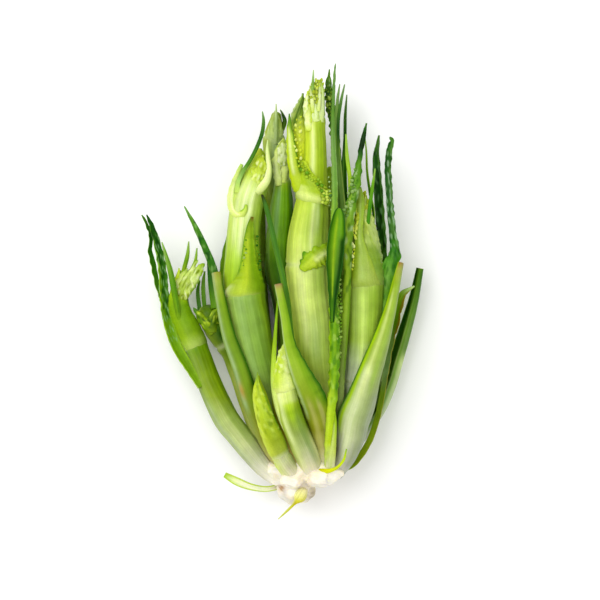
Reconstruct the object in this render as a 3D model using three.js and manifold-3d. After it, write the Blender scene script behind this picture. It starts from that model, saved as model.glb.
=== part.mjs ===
// A head of puntarelle chicory, lying on its side as it does on a table.
//
// Thick shoots, cut leaf stalks and narrow leaves all grow from one pale crown. Every piece is laid out
// along a spine: a smooth curve through a few points that start at the crown. A row of a spine holds
// x, y, z and a half width, in millimetres, measured from the butt of the crown on the table top: +Y runs
// from the butt to the tips, +X to the right and +Z up. A shoot is a turned profile bent along its spine.
// A stalk, leaf or bract is a thin slab bent along its spine and curled across it. The crown is made
// first, then the shoots, and each piece is cut back from the ones before it by a hair's gap.

import * as THREE from "three";
import { mergeVertices } from "three/addons/utils/BufferGeometryUtils.js";
import Module from "manifold-3d";

const wasm = await Module();
wasm.setup();

// Driving dimensions, in millimetres.
const GAP = 0.3; // clear space left between neighbours
const BOX_CENTRE = [-11.6, 132]; // middle of the whole head, in x and y, from the butt
const TABLE = { size: 600, depth: 60 }; // the block that flattens the underside

// How finely the pieces are faceted.
const SHOOT_SIDES = 12;
const SMALL_SHOOT_SIDES = 9;
const SMALL_SHOOT_RADIUS = 7.5;
const STEPS_PER_SPAN = 2; // along a spine, between one row and the next
const STALK_STRIPS = 4; // across a slab
const LEAF_STRIPS = 2;

// A slab keeps its full thickness where it is wide, and thins towards a narrow tip.
const THINNEST = 0.45;
const FULL_THICKNESS_HALF_WIDTH = 2.8;
const LEAST_HALF_WIDTH = 0.4;

const COLOURS = {
  crown: 0xeee6cc,
  shoot: 0xb5d05c,
  stalk: 0x9fbc62,
  bract: 0xb9d43f,
  leaf: 0x47762a,
};
const FINISH = {
  crown: { roughness: 0.55, metalness: 0 },
  shoot: { roughness: 0.35, metalness: 0 },
  stalk: { roughness: 0.35, metalness: 0 },
  bract: { roughness: 0.4, metalness: 0 },
  leaf: { roughness: 0.45, metalness: 0 },
};

// The crown: round lobes that run together. Rows are x, y, z of a lobe and its three radii.
const LOBE_FACETS = [12, 8]; // round and down each lobe
const CROWN_LOBES = [
  [1, 15, 33, 20, 13, 22],
  [13.5, 13, 44, 13, 11.5, 14],
  [-12, 13, 39, 12, 10.5, 13],
  [12, 14, 19, 15, 10, 13],
  [-2.5, 2, 32, 12, 11, 13],
  [26, 13, 40, 8, 7.5, 10],
];

// Shoots, thickest first. Rows are x, y, z and radius.
const SHOOTS = {
  main_shoot: [
    [15, 23, 36, 8], [13, 60, 42, 12.5], [9, 100, 45, 14], [6, 133, 46, 14.5], [5, 160, 47, 14],
    [7, 183, 47, 12], [8.5, 201, 47, 9.8], [9.3, 227, 45, 8.2], [9.3, 247, 43, 7.4],
    [10.3, 260, 42.5, 6.2], [11.2, 267, 42, 4.4], [12.3, 272, 41.5, 2.2],
  ],
  left_shoot: [
    [-7, 17, 36, 6], [-13, 33, 38, 8], [-22, 60, 41, 10.7], [-29, 87, 43, 12.7], [-35, 113, 44, 14],
    [-38, 137, 45, 13.3], [-38, 167, 46, 10.9], [-34.5, 190, 46, 9.7], [-29, 208, 45, 8.6],
    [-27, 219, 44, 6],
  ],
  right_shoot: [
    [30, 27, 34, 6], [37, 53, 40, 8.7], [41, 80, 43, 10.5], [43, 107, 45, 12], [43, 133, 46, 12.8],
    [42, 155, 46, 11.5], [41, 175, 45, 8], [41, 192, 44, 3.6],
  ],
  under_right_shoot: [
    [15, 23, 17, 6], [20, 60, 14, 10.5], [24, 100, 12.3, 12.7], [25, 140, 12.9, 13.3],
    [22, 173, 14, 11.5], [20, 203, 18, 7], [20, 215, 20, 2],
  ],
  under_left_shoot: [
    [-10, 23, 20, 5.5], [-22, 60, 14, 9.3], [-30, 97, 11.2, 11.5], [-34, 133, 11.6, 12],
    [-33, 167, 13.5, 10], [-30, 193, 16, 6], [-29, 205, 18, 2],
  ],
  under_far_right_shoot: [
    [30, 25, 20, 5.5], [43, 60, 14, 8.7], [49, 97, 10.2, 10.5], [50, 133, 10.5, 10], [49, 160, 13, 6],
    [48, 175, 15, 1.5],
  ],
  middle_back_shoot: [
    [1, 27, 30, 5], [-2, 50, 29, 7], [-6, 90, 28, 8], [-8, 120, 29, 8.5], [-13, 147, 31, 9],
    [-13.5, 167, 33, 9], [-12, 193, 35, 7.2], [-11.5, 208, 36, 4.6], [-12, 220, 36, 4.2],
    [-12, 229, 36, 3],
  ],
  back_left_shoot: [
    [-1, 20, 22, 5.5], [-3, 47, 15, 7.5], [-7, 100, 12, 8.7], [-8, 127, 12, 8.7], [-11, 160, 14, 8.7],
    [-15, 193, 19, 8.3], [-17.3, 220, 25, 7.6], [-17.3, 238, 28, 6.4], [-16, 250, 28, 3.6],
  ],
  far_left_shoot: [
    [-15, 8, 37, 5.4], [-24, 15.3, 38, 6.8], [-33.4, 26.7, 36.5, 8], [-42, 37.4, 34.5, 8.2],
    [-50.5, 49, 32.5, 8.4], [-61, 71, 29.5, 8.2], [-69, 92, 28, 7.9], [-76, 108, 27, 7.6],
    [-81, 122, 27, 6.8], [-81, 135, 27, 5.4], [-80, 144, 27, 3],
  ],
  small_left_shoot: [
    [-10, 17, 32, 4.8], [-25, 33, 33, 6], [-35.5, 60, 27, 6.3], [-42, 79, 25, 6.3], [-47, 93, 25, 6.8],
    [-56, 107, 26, 8.3], [-62, 117, 28, 7.2],
  ],
  front_middle_shoot: [
    [9.2, 9, 41, 5.6], [7.6, 15.5, 48.5, 7.1], [4.2, 25, 56.8, 8], [0.8, 33, 60.2, 8.1],
    [-3, 42, 62.5, 8.1], [-6.8, 53, 64, 8], [-9.8, 67, 66, 7.4], [-10.6, 77, 66, 6.6], [-10, 86, 65, 5.2],
    [-8.4, 95, 63.5, 3.2], [-7, 101, 62, 1.2],
  ],
  front_small_shoot: [
    [-2.8, 7.5, 42, 5.6], [-6.8, 14, 50, 6.6], [-12, 22, 57, 6.1], [-16.8, 33, 60.5, 6.1],
    [-20.6, 43, 62.5, 5.8], [-23.5, 53, 64, 5.3], [-26, 63, 63, 4.5], [-27.5, 71, 62, 2.6],
    [-27.8, 76, 61.5, 1.2],
  ],
  under_small_shoot: [
    [-8, 20, 11, 4], [-14, 38, 7.5, 5.3], [-16, 55, 5.5, 5.5], [-17, 66, 5.5, 4.5], [-18, 78, 6, 1],
  ],
  under_middle_shoot: [
    [20, 15, 11, 4.5], [33, 32, 7.5, 6], [38, 48, 6, 6], [39, 60, 6, 5], [40, 72, 6, 1.2],
  ],
};

// Slabs bent along a spine. face is the way the inner, hollow side looks; curl is half of the angle that
// the section bends through, in degrees; thick is the thickness at the middle and at the edges.
const STALKS = {
  right_cut_stalk: {
    face: [-0.3, 0, -0.95], curl: 62, thick: [7, 2.2],
    rows: [
      [24.6, 9.5, 42, 4.2], [27.6, 15, 46.5, 6.4], [32.2, 24, 51, 8.6], [35.3, 35, 55, 12],
      [37.5, 47, 58.5, 13.7], [42, 60, 61, 12.2], [46, 74, 61.5, 9.9], [50.3, 87, 61.5, 8.5],
      [54.8, 101, 60.5, 6.6], [58.4, 114, 59, 4.9], [61.6, 127, 57.5, 3.7], [64.4, 140, 56, 2.8],
      [67, 151.5, 54.5, 1.9],
    ],
  },
  far_right_cut_stalk: {
    face: [-0.93, 0, 0.37], curl: 85, thick: [5.5, 2],
    rows: [
      [31, 17, 26, 5.3], [37, 27, 22, 7], [47, 41, 20, 8], [56, 55, 20, 8.3], [62.5, 71, 20, 8.2],
      [67, 87, 21, 7.8], [71.5, 103, 22, 6.8], [77.5, 127, 23, 4.8], [81.3, 148, 24, 3.2],
    ],
  },
  left_cut_stalk: {
    face: [0.4, 0, -0.9], curl: 60, thick: [5.5, 2],
    rows: [
      [-11.5, 15, 45, 4.6], [-20.5, 28, 49, 6.6], [-28.5, 46, 52.5, 7.4], [-35, 63, 55.5, 7.2],
      [-41, 83, 58, 6.3], [-48, 103, 59, 5.3], [-53, 127, 58, 3.9], [-56, 145, 56, 3.2],
    ],
  },
  centre_cut_stalk: {
    face: [0.3, 0, -0.95], curl: 50, thick: [5.5, 2],
    rows: [
      [14.5, 19, 49, 6.4], [13, 28, 54, 8], [10.5, 43, 61.5, 9.4], [5, 60, 68.5, 9.4], [-2, 77, 75, 7.3],
      [-8, 97, 77, 4], [-11, 117, 76, 3], [-15, 137, 74, 2.5],
    ],
  },
  under_cut_stalk: {
    face: [0, 0, 1], curl: 50, thick: [5, 2],
    rows: [
      [5, 20, 8, 6], [6, 45, 3, 5.6], [7, 80, 2.6, 5.2], [7, 120, 2.6, 4.8], [6, 150, 3.2, 4.2],
      [5, 172, 5, 3.6],
    ],
  },
};

const BRACTS = {
  main_shoot_collar: {
    face: [0, 0, -1], curl: 62, thick: [1.8, 1.2],
    rows: [[10, 197, 60, 10], [10, 205, 59.5, 11], [9, 214, 58, 9.5]],
  },
  main_shoot_pointed_bract: {
    face: [0.3, 0, -0.95], curl: 55, thick: [2, 1],
    rows: [
      [-0.8, 199, 53, 4.6], [-2.8, 206, 54.5, 4.8], [-5, 216, 55.5, 4.2], [-6.2, 226, 55.5, 3.8],
      [-6.8, 234, 54.5, 3], [-7.2, 242, 53.5, 1.7], [-7.1, 250.5, 52, 0.6],
    ],
  },
  main_shoot_side_bract: {
    face: [0.2, 0, -0.97], curl: 75, thick: [2, 1.2],
    rows: [
      [-0.6, 196, 46, 4], [-0.6, 207, 48.5, 6], [-0.6, 220, 50, 6.6], [-0.8, 234, 49.5, 6.6],
      [-0.8, 245, 48, 5.6], [0, 253, 46.5, 3.8], [1.2, 259.5, 45, 2], [2, 264.5, 44, 0.6],
    ],
  },
  main_shoot_lower_bract: {
    face: [0.1, 0, -1], curl: 45, thick: [2, 1.2],
    rows: [
      [21, 162, 53, 5.5], [17, 160, 57.5, 7.2], [12.5, 157.5, 61, 7.8], [8, 154, 63, 7],
      [4, 150.5, 63.6, 5], [1.4, 148, 63.2, 3.2], [0.4, 147, 62.6, 1.4],
    ],
  },
  left_shoot_pointed_bract: {
    face: [-0.25, 0, -0.97], curl: 50, thick: [2, 1],
    rows: [
      [-38, 131, 61, 8.5], [-34, 143, 61, 7.5], [-30, 157, 61, 5], [-28, 172, 60, 3.2], [-27, 190, 58, 0.8],
    ],
  },
  left_shoot_curled_bract: {
    face: [-0.3, 0, -0.95], curl: 50, thick: [2, 1],
    rows: [
      [-38.5, 217, 51, 1.1], [-41.4, 210, 50.5, 1.9], [-44, 202.5, 50, 2.5], [-45.4, 194.5, 50.5, 3],
      [-44.6, 187.8, 52.5, 3], [-41.6, 184, 55.6, 2.7], [-38, 184, 57.5, 2.3], [-35.8, 187, 58, 1.5],
      [-35.8, 190, 57.8, 0.6],
    ],
  },
  left_shoot_hooked_bract: {
    face: [-0.4, 0, -0.9], curl: 50, thick: [2.4, 1.2],
    rows: [
      [-29, 198, 54.5, 3.4], [-25, 201.5, 54.5, 3.4], [-21.5, 206.5, 54, 2.8], [-20.3, 213.5, 53.5, 2.1],
      [-21, 221, 53, 1.7], [-21.6, 227, 52.5, 1.1], [-21.4, 233, 52, 0.6],
    ],
  },
  right_shoot_left_sheath: {
    face: [0.3, 0, -0.95], curl: 35, thick: [1.8, 1],
    rows: [
      [37, 127, 60.5, 4], [37, 147, 60.3, 4.5], [38, 167, 58.5, 4], [39, 184, 54.5, 2.4],
      [40, 199, 49, 0.7],
    ],
  },
  right_shoot_right_sheath: {
    face: [-0.45, 0, -0.9], curl: 35, thick: [1.8, 1],
    rows: [[48, 133, 58.5, 4.5], [49.5, 152, 58, 4.5], [47.5, 170, 56.5, 3.4], [44, 188, 52, 0.8]],
  },
  far_left_shoot_sheath: {
    face: [0, 0, -1], curl: 55, thick: [1.8, 1.2],
    rows: [[-73, 92, 37.5, 5], [-79, 107, 37, 6], [-84, 123, 36.5, 5.5], [-88, 138, 34.5, 2]],
  },
  back_left_shoot_bract: {
    face: [0, 0, -1], curl: 45, thick: [1.8, 1],
    rows: [[-15, 219, 36, 3], [-14, 235, 36.5, 2.6], [-13, 249, 36, 1.6], [-13, 261, 34, 0.6]],
  },
};

const LEAVES = {
  far_left_leaf: {
    face: [0.65, 0, 0.76], curl: 60, thick: [2.4, 1],
    rows: [
      [-67, 68, 36, 2.5], [-75, 81, 35, 4], [-84, 96, 34.5, 4.8], [-89.5, 112, 33, 4.8],
      [-92, 128, 32, 4.4], [-93, 144, 31, 3.8], [-95.5, 160, 31, 3.2], [-99.5, 175, 31, 2.2],
      [-103, 184, 31, 0.6],
    ],
  },
  far_left_thin_leaf: {
    face: [0.5, 0, 0.8], curl: 40, thick: [1.4, 1],
    rows: [
      [-92, 124, 32.5, 1.4], [-96, 137, 29, 1.8], [-99.2, 152, 27, 2], [-101, 160, 27, 1.6],
      [-100.5, 170, 27, 1.4], [-104.3, 180, 26, 1], [-106.5, 184, 26, 0.6],
    ],
  },
  far_left_inner_leaf: {
    face: [0.4, 0, -0.9], curl: 45, thick: [1.4, 1],
    rows: [
      [-80.6, 108, 31, 0.8], [-81.6, 116, 36, 1.8], [-84.5, 133, 39, 2.2], [-87, 146, 38.5, 2],
      [-90, 157, 37.5, 1.3], [-92.5, 165.5, 36.5, 0.6],
    ],
  },
  left_dark_leaf: {
    face: [0.75, 0, -0.6], curl: 55, thick: [1.6, 1],
    rows: [
      [-49.5, 103, 54, 1.8], [-53, 116, 52.5, 2.6], [-55, 130, 51, 3.4], [-58, 145, 51, 3.9],
      [-63.5, 160, 51, 3.4], [-70, 175, 51, 2.3], [-77, 189, 50, 0.6],
    ],
  },
  left_inner_leaf: {
    face: [0.5, 0, -0.8], curl: 50, thick: [1.5, 1],
    rows: [
      [-5, 93, 61, 2], [-7, 110, 62, 2.3], [-9, 127, 62, 2.4], [-12.5, 145, 61, 2.3],
      [-16.8, 163, 60, 2.2], [-20.5, 179, 59, 2], [-23.6, 191, 58, 1.6], [-25.4, 196.5, 57, 0.8],
    ],
  },
  long_front_leaf: {
    face: [0.6, 0, -0.8], curl: 60, thick: [2.2, 1],
    rows: [
      [17.4, 14, 52, 2], [17.8, 32, 63, 2.8], [19.2, 50, 67.5, 3.6], [21, 73, 67.5, 4.2],
      [21.5, 107, 66, 4.4], [21, 140, 65, 3.6], [20.8, 160, 64, 3], [22, 182, 61, 2.8],
      [22.4, 200, 58, 2.7], [22.2, 215, 55.5, 2.4], [21.6, 230, 53.5, 2], [21.5, 247, 52, 1.5],
      [22, 262, 51, 1.3], [22.7, 275, 50.5, 1], [23.5, 284, 50, 0.6],
    ],
  },
  spoon_leaf: {
    face: [0.1, 0, 1], curl: 70, thick: [1.6, 1],
    rows: [
      [21.2, 112, 66.5, 1.4], [21.4, 124, 70, 2.6], [21.8, 138, 72.5, 4.8], [22.4, 152, 73, 6.8],
      [23.4, 165, 73, 7.2], [24.6, 176, 72, 6.2], [25.4, 183.5, 71, 4], [25.8, 187, 70, 1.6],
    ],
  },
  tall_back_leaf: {
    face: [-0.2, 0, 0.95], curl: 50, thick: [1.6, 1],
    rows: [
      [25, 124, 26.5, 2.2], [25.8, 142, 29.5, 3], [26.6, 167, 31.5, 3.6], [26.6, 190, 34, 3.9],
      [25.3, 212, 36, 3.8], [24.2, 230, 37, 3.2], [22.4, 246, 38, 2.6], [20.3, 258, 38, 2.8],
      [19.3, 268, 38, 2.4], [19.3, 275, 38, 1.2], [19.7, 281, 38, 0.6],
    ],
  },
  tall_middle_leaf: {
    face: [-0.2, 0, 0.95], curl: 50, thick: [1.4, 1],
    rows: [
      [31.5, 163, 45, 1.8], [29.5, 183, 45, 2.2], [28, 205, 45.5, 2], [26.8, 227, 46.5, 1.4],
      [26.4, 245, 46.5, 1.3], [27.6, 258, 46, 1.2], [29.8, 270.5, 45, 0.6],
    ],
  },
  tall_side_leaf: {
    face: [-0.5, 0, 0.85], curl: 50, thick: [1.4, 1],
    rows: [
      [33, 167, 41, 2.4], [31, 180, 38.5, 3.2], [29.5, 196, 37.5, 3.2], [29, 214, 38, 2.6],
      [29.6, 233, 38, 1.9], [29.9, 250, 38, 1.6], [31.3, 264, 37, 0.6],
    ],
  },
  pale_thin_leaf: {
    face: [-0.2, 0, 0.95], curl: 40, thick: [1.3, 1],
    rows: [
      [34.3, 181, 52.5, 1.5], [33.7, 193, 53, 1.6], [33.3, 207, 53, 1.4], [31.4, 222, 52, 1.2],
      [30.6, 237, 51, 0.6],
    ],
  },
  folded_front_leaf: {
    face: [0.5, 0, -0.85], curl: 55, thick: [1.8, 1],
    rows: [
      [24.5, 40, 51, 2.2], [26, 60, 54, 2.8], [27, 80, 56, 3], [28.6, 103, 58, 3.2], [30, 127, 60, 3.4],
      [30.8, 150, 61, 3.3], [31.4, 173, 62, 3.5], [33.3, 191, 62, 3.9], [36.2, 205, 61, 3.9],
      [38.4, 216, 59, 2.4], [39.6, 224, 58, 1.8], [41.6, 234, 57.4, 1.9], [44, 244, 56, 0.6],
    ],
  },
  right_thin_leaf: {
    face: [-0.8, 0, 0.4], curl: 40, thick: [1.3, 1],
    rows: [
      [43.5, 160, 44, 0.9], [48, 171, 45, 1.4], [49.4, 184, 46, 1.6], [47, 198, 47, 1.6],
      [45, 212, 47, 1.3], [44.4, 225, 46.5, 1], [43.4, 235, 46, 0.6],
    ],
  },
  right_short_leaf: {
    face: [-0.3, 0, -0.9], curl: 40, thick: [1.2, 0.9],
    rows: [
      [43.6, 163, 49, 0.8], [44.8, 173, 52.5, 1.2], [46.3, 187, 54, 1.3], [48, 200, 53, 1.2],
      [50, 214, 51.5, 0.6],
    ],
  },
  right_dark_leaf: {
    face: [-0.4, 0, 0.9], curl: 50, thick: [1.8, 1],
    rows: [
      [50, 98, 20, 2], [53, 111, 24, 2.8], [55.4, 127, 29, 3.4], [56.2, 145, 32, 3.6],
      [55.4, 165, 35, 3.6], [53.8, 187, 36.5, 3.6], [52.2, 207, 37, 3.4], [51.4, 223, 36, 2.4],
      [53, 237, 34, 0.6],
    ],
  },
  right_bladed_leaf: {
    face: [-0.35, 0, 0.92], curl: 40, thick: [1.6, 1],
    rows: [
      [47.5, 92, 52, 1.6], [51.5, 104, 51.5, 3.4], [55, 118, 50.5, 5], [58, 134, 49, 6.4],
      [60.6, 147, 49.5, 6.6], [63.4, 158, 50, 4.2], [62.6, 166, 50, 2.8], [60.8, 182, 49.5, 2.6],
      [59.2, 205, 49.5, 2.5], [58.8, 218, 50, 2.4], [60, 228, 51, 2], [61.4, 232.5, 51, 1.5],
      [59.6, 235, 50.5, 0.6],
    ],
  },
  ragged_side_leaf: {
    face: [-0.5, 0, 0.85], curl: 35, thick: [1.5, 1],
    rows: [
      [27, 12, 39, 1.6], [37, 18, 37, 2.1], [46, 31, 37, 2.2], [51.5, 46, 37, 2.1], [55, 62, 37.5, 2],
      [57.8, 79, 38, 2], [60.3, 97, 39, 2.6], [63.4, 112, 40, 3.6], [65.6, 124, 41, 3.8],
      [70, 131.5, 41.5, 1.8], [76.4, 136, 41.5, 0.6],
    ],
  },
  cup_left_leaflet: {
    face: [0, 0, 1], curl: 35, thick: [1.2, 0.9],
    rows: [[-66.5, 112, 26, 1.2], [-67.6, 121, 25, 1.4], [-68.8, 132, 24, 1.2], [-67.6, 140, 23.5, 0.6]],
  },
  cup_middle_leaflet: {
    face: [0, 0, 1], curl: 35, thick: [1.2, 0.9],
    rows: [[-63, 115, 28, 1.2], [-64.4, 125, 28, 1.4], [-65, 137, 28.5, 1.3], [-64, 146, 28.5, 0.6]],
  },
  cup_right_leaflet: {
    face: [0, 0, 1], curl: 45, thick: [1.4, 0.9],
    rows: [[-57.6, 121, 33, 2], [-59.4, 137, 33, 2.2], [-62, 157, 33, 0.6]],
  },
  far_left_top_leaflet: {
    face: [0, 0, -1], curl: 40, thick: [1.2, 0.9],
    rows: [
      [-79.5, 139, 30.5, 1.4], [-77.6, 148, 31.5, 1.5], [-75.4, 157, 32, 1.3], [-74.6, 166, 31.5, 0.6],
    ],
  },
  far_left_side_leaflet: {
    face: [-0.3, 0, -0.9], curl: 40, thick: [1.2, 0.9],
    rows: [[-77.5, 138, 31, 1.2], [-73, 146, 33, 1.3], [-70, 153, 34, 1.1], [-69, 161.5, 34, 0.6]],
  },
  main_shoot_tip_leaflet: {
    face: [0, 0, -1], curl: 40, thick: [1.2, 0.9],
    rows: [[8.2, 258, 47.5, 1.4], [8.4, 267, 48.5, 1.2], [9, 280, 48, 0.6]],
  },
  under_left_leaf: {
    face: [0, 0, 1], curl: 35, thick: [1.6, 1],
    rows: [
      [-32.5, 70, 8, 2.4], [-38, 84, 4.5, 3.4], [-44, 98, 2.2, 4.4], [-49, 116, 1.8, 5.4],
      [-50, 137, 2, 5.6], [-48, 160, 3, 4.6], [-44, 185, 6, 1],
    ],
  },
  under_long_leaf: {
    face: [0, 0, 1], curl: 35, thick: [1.6, 1],
    rows: [
      [12, 163, 10, 2.4], [8, 176, 9.5, 3.4], [6, 195, 11, 4.6], [6, 215, 14, 4.6], [7, 233, 19, 3],
      [8, 250, 25, 0.8],
    ],
  },
  base_stub_leaf: {
    face: [0, -0.2, 1], curl: 50, thick: [1.8, 1.2],
    rows: [
      [-14, 1.5, 30, 2], [-23, 0, 30, 2], [-33, 1.5, 30, 2.4], [-42, 5, 30, 2.9], [-50.5, 9.5, 30, 1.9],
    ],
  },
  base_yellow_leaflet: {
    face: [0, -0.3, -1], curl: 40, thick: [1.6, 1],
    rows: [
      [12.5, 14, 55, 1], [15.5, 13.4, 57, 1.7], [20, 13.8, 59, 1.3], [25, 16.2, 60, 0.95],
      [29, 21, 60, 0.75], [30.8, 28, 59, 0.6],
    ],
  },
};

// The one little shoot that grows back from the butt. Rows are as in SHOOTS.
const ROOTLET = [
  [2.8, 0.5, 44, 2.4], [1.2, -2.2, 45.6, 4], [-0.6, -5.2, 45.6, 3.9], [-2.6, -7.8, 44.6, 1.7],
  [-4.6, -10, 43.6, 1], [-9.4, -14.8, 42.4, 0.8], [-14.6, -19.6, 42, 0.6],
];

const smooth = (points) => new THREE.CatmullRomCurve3(points, false, "catmullrom", 0.5);

// A spine: its curve and the half width along it, both over 0 to 1.
function spineOf(rows) {
  const curve = smooth(rows.map(([x, y, z]) => new THREE.Vector3(x, y, z)));
  const widths = smooth(rows.map(([, , , half]) => new THREE.Vector3(half, 0, 0)));
  return { curve, halfAt: (u) => Math.max(widths.getPoint(u).x, LEAST_HALF_WIDTH) };
}

// The directions across a spine at u: side, along and inward, where inward looks towards face.
function crossAt(curve, u, face) {
  const along = curve.getTangent(u).normalize();
  const side = new THREE.Vector3().crossVectors(along, face).normalize();
  const inward = new THREE.Vector3().crossVectors(side, along);
  return { side, along, inward };
}

function bend(geometry, place) {
  const position = geometry.getAttribute("position");
  const vertex = new THREE.Vector3();
  for (let i = 0; i < position.count; i += 1) {
    vertex.fromBufferAttribute(position, i);
    const bent = place(vertex);
    position.setXYZ(i, bent.x, bent.y, bent.z);
  }
  return geometry;
}

function solidOf(geometry) {
  const bare = geometry.clone();
  bare.deleteAttribute("normal");
  bare.deleteAttribute("uv");
  const merged = mergeVertices(bare, 1e-4);
  const mesh = new wasm.Mesh({
    numProp: 3,
    vertProperties: new Float32Array(merged.getAttribute("position").array),
    triVerts: new Uint32Array(merged.index.array),
  });
  return new wasm.Manifold(mesh);
}

// Each maker below takes extra, a length that the solid is grown by all round.

// A round shoot, turned as a profile of radius over the length and then bent along its spine.
function shootSolid(rows, extra) {
  const { curve, halfAt } = spineOf(rows);
  const rings = (rows.length - 1) * STEPS_PER_SPAN;
  const profile = [new THREE.Vector2(0, 0)];
  for (let i = 0; i <= rings; i += 1) profile.push(new THREE.Vector2(halfAt(i / rings) + extra, i / rings));
  profile.push(new THREE.Vector2(0, 1));
  const widest = Math.max(...rows.map(([, , , radius]) => radius));
  const sides = widest > SMALL_SHOOT_RADIUS ? SHOOT_SIDES : SMALL_SHOOT_SIDES;
  const up = new THREE.Vector3(0, 0, 1);
  const turned = new THREE.LatheGeometry(profile, sides);
  return solidOf(
    bend(turned, ({ x, y, z }) => {
      const { side, along, inward } = crossAt(curve, y, up);
      return curve
        .getPoint(y)
        .addScaledVector(along, extra * (2 * y - 1))
        .addScaledVector(side, x)
        .addScaledVector(inward, z);
    }),
  );
}

// How much of its thickness a slab keeps at a half width.
function thinning(half) {
  const share = Math.min(half / FULL_THICKNESS_HALF_WIDTH, 1);
  return THREE.MathUtils.lerp(THINNEST, 1, share);
}

// A slab bent along its spine, and curled across it so that its edges rise towards face.
function slabSolid({ face, curl, thick, rows }, strips, extra) {
  const { curve, halfAt } = spineOf(rows);
  const towards = new THREE.Vector3(...face);
  const reach = THREE.MathUtils.degToRad(curl);
  const slab = new THREE.BoxGeometry(2, 1, 1, strips, (rows.length - 1) * STEPS_PER_SPAN, 1);
  return solidOf(
    bend(slab, ({ x, y, z }) => {
      const u = y + 0.5;
      const { side, along, inward } = crossAt(curve, u, towards);
      const radius = (halfAt(u) + extra) / reach;
      const angle = x * reach;
      const outward = inward.clone().multiplyScalar(Math.cos(angle)).addScaledVector(side, -Math.sin(angle));
      const thickness = THREE.MathUtils.lerp(...thick, Math.abs(x)) * thinning(halfAt(u)) + 2 * extra;
      return curve
        .getPoint(u)
        .addScaledVector(along, 2 * y * extra)
        .addScaledVector(side, radius * Math.sin(angle))
        .addScaledVector(inward, radius * (1 - Math.cos(angle)))
        .addScaledVector(outward, z * thickness);
    }),
  );
}

function crownSolid(extra) {
  return CROWN_LOBES.map(([x, y, z, rx, ry, rz]) => {
    const lobe = new THREE.SphereGeometry(1, ...LOBE_FACETS);
    lobe.scale(rx + extra, ry + extra, rz + extra).translate(x, y, z);
    return solidOf(lobe);
  }).reduce((whole, lobe) => whole.add(lobe));
}

function tableSolid() {
  const block = new THREE.BoxGeometry(TABLE.size, TABLE.size, TABLE.depth);
  return solidOf(block.translate(0, 0, -TABLE.depth / 2));
}

const boxOf = (solid) => {
  const { min, max } = solid.boundingBox();
  return new THREE.Box3(new THREE.Vector3(...min), new THREE.Vector3(...max));
};

// Every piece in the order that it is made: an earlier piece keeps its whole shape.
const piecesOf = (group, look, make) =>
  Object.entries(group).map(([name, piece]) => ({ name, look, make: (extra) => make(piece, extra) }));
const stalkLike = (piece, extra) => slabSolid(piece, STALK_STRIPS, extra);
const leafLike = (piece, extra) => slabSolid(piece, LEAF_STRIPS, extra);

const PIECES = [
  { name: "crown", look: "crown", make: crownSolid },
  ...piecesOf(SHOOTS, "shoot", shootSolid),
  ...piecesOf(STALKS, "stalk", stalkLike),
  ...piecesOf(BRACTS, "bract", stalkLike),
  ...piecesOf(LEAVES, "leaf", leafLike),
  ...piecesOf({ rootlet: ROOTLET }, "bract", shootSolid),
];

// Cuts a piece back from the table and from every piece before it, and keeps its largest part.
function fitted(piece, made, table) {
  let solid = piece.make(0).subtract(table);
  for (const other of made) {
    if (boxOf(solid).intersectsBox(other.box)) solid = solid.subtract(other.grown);
  }
  const parts = solid.decompose().sort((a, b) => b.volume() - a.volume());
  return parts[0];
}

function meshOf(name, look, solid) {
  const { vertProperties, triVerts } = solid.getMesh();
  const geometry = new THREE.BufferGeometry();
  geometry.setAttribute("position", new THREE.BufferAttribute(new Float32Array(vertProperties), 3));
  geometry.setIndex(new THREE.BufferAttribute(new Uint32Array(triVerts), 1));
  const material = new THREE.MeshStandardMaterial({ color: COLOURS[look], ...FINISH[look] });
  const mesh = new THREE.Mesh(geometry, material);
  mesh.name = name;
  return mesh;
}

const head = new THREE.Group();
const table = tableSolid();
const made = [];
for (const piece of PIECES) {
  head.add(meshOf(piece.name, piece.look, fitted(piece, made, table)));
  const grown = piece.make(GAP);
  made.push({ grown, box: boxOf(grown) });
}
head.position.set(-BOX_CENTRE[0], -BOX_CENTRE[1], 0);

export default head;
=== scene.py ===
"""A head of puntarelle chicory lying on its side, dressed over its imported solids.

Every shoot, stalk, bract and leaf is lofted along a spine, a smooth curve through a few points. A row of a
spine is x, y, z and half width in millimetres, measured from the butt of the crown on the table top, with
+Y towards the tips. Bracts that clasp a shoot are drawn on its skin instead, by length and angle. Colours
run from base to tip, as stops of a share of the length and a hex value.
"""

import math

import bmesh
import bpy
import numpy as np
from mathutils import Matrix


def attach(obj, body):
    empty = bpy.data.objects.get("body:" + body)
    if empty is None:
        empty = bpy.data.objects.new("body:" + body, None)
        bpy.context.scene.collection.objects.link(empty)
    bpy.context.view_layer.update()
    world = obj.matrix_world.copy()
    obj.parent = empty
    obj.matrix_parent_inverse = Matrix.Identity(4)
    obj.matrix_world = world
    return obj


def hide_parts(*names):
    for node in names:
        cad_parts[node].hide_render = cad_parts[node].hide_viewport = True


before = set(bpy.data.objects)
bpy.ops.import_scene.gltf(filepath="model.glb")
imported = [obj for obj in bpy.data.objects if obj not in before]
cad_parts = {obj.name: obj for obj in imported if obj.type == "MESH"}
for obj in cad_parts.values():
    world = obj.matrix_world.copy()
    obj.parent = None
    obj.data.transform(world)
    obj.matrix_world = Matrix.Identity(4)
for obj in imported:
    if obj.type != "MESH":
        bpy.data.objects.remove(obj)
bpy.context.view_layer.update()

MM = 0.001
ORIGIN = np.array([-11.6, 132.0, 0.0])  # the frame's origin, in the spines' own millimetres
TONE = 0.9  # how much of the light on it a skin gives back, next to the colour it looks
SHEEN = 0.02  # how much white its shine adds to that colour
LEAST_PIGMENT = 0.3  # the least of a colour that is left when its shine is taken off
SHOOT_STEP = 1.2  # millimetres between the rings of a shoot
BLADE_STEP = 0.8  # millimetres between the rows of a blade or sheath
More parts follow.
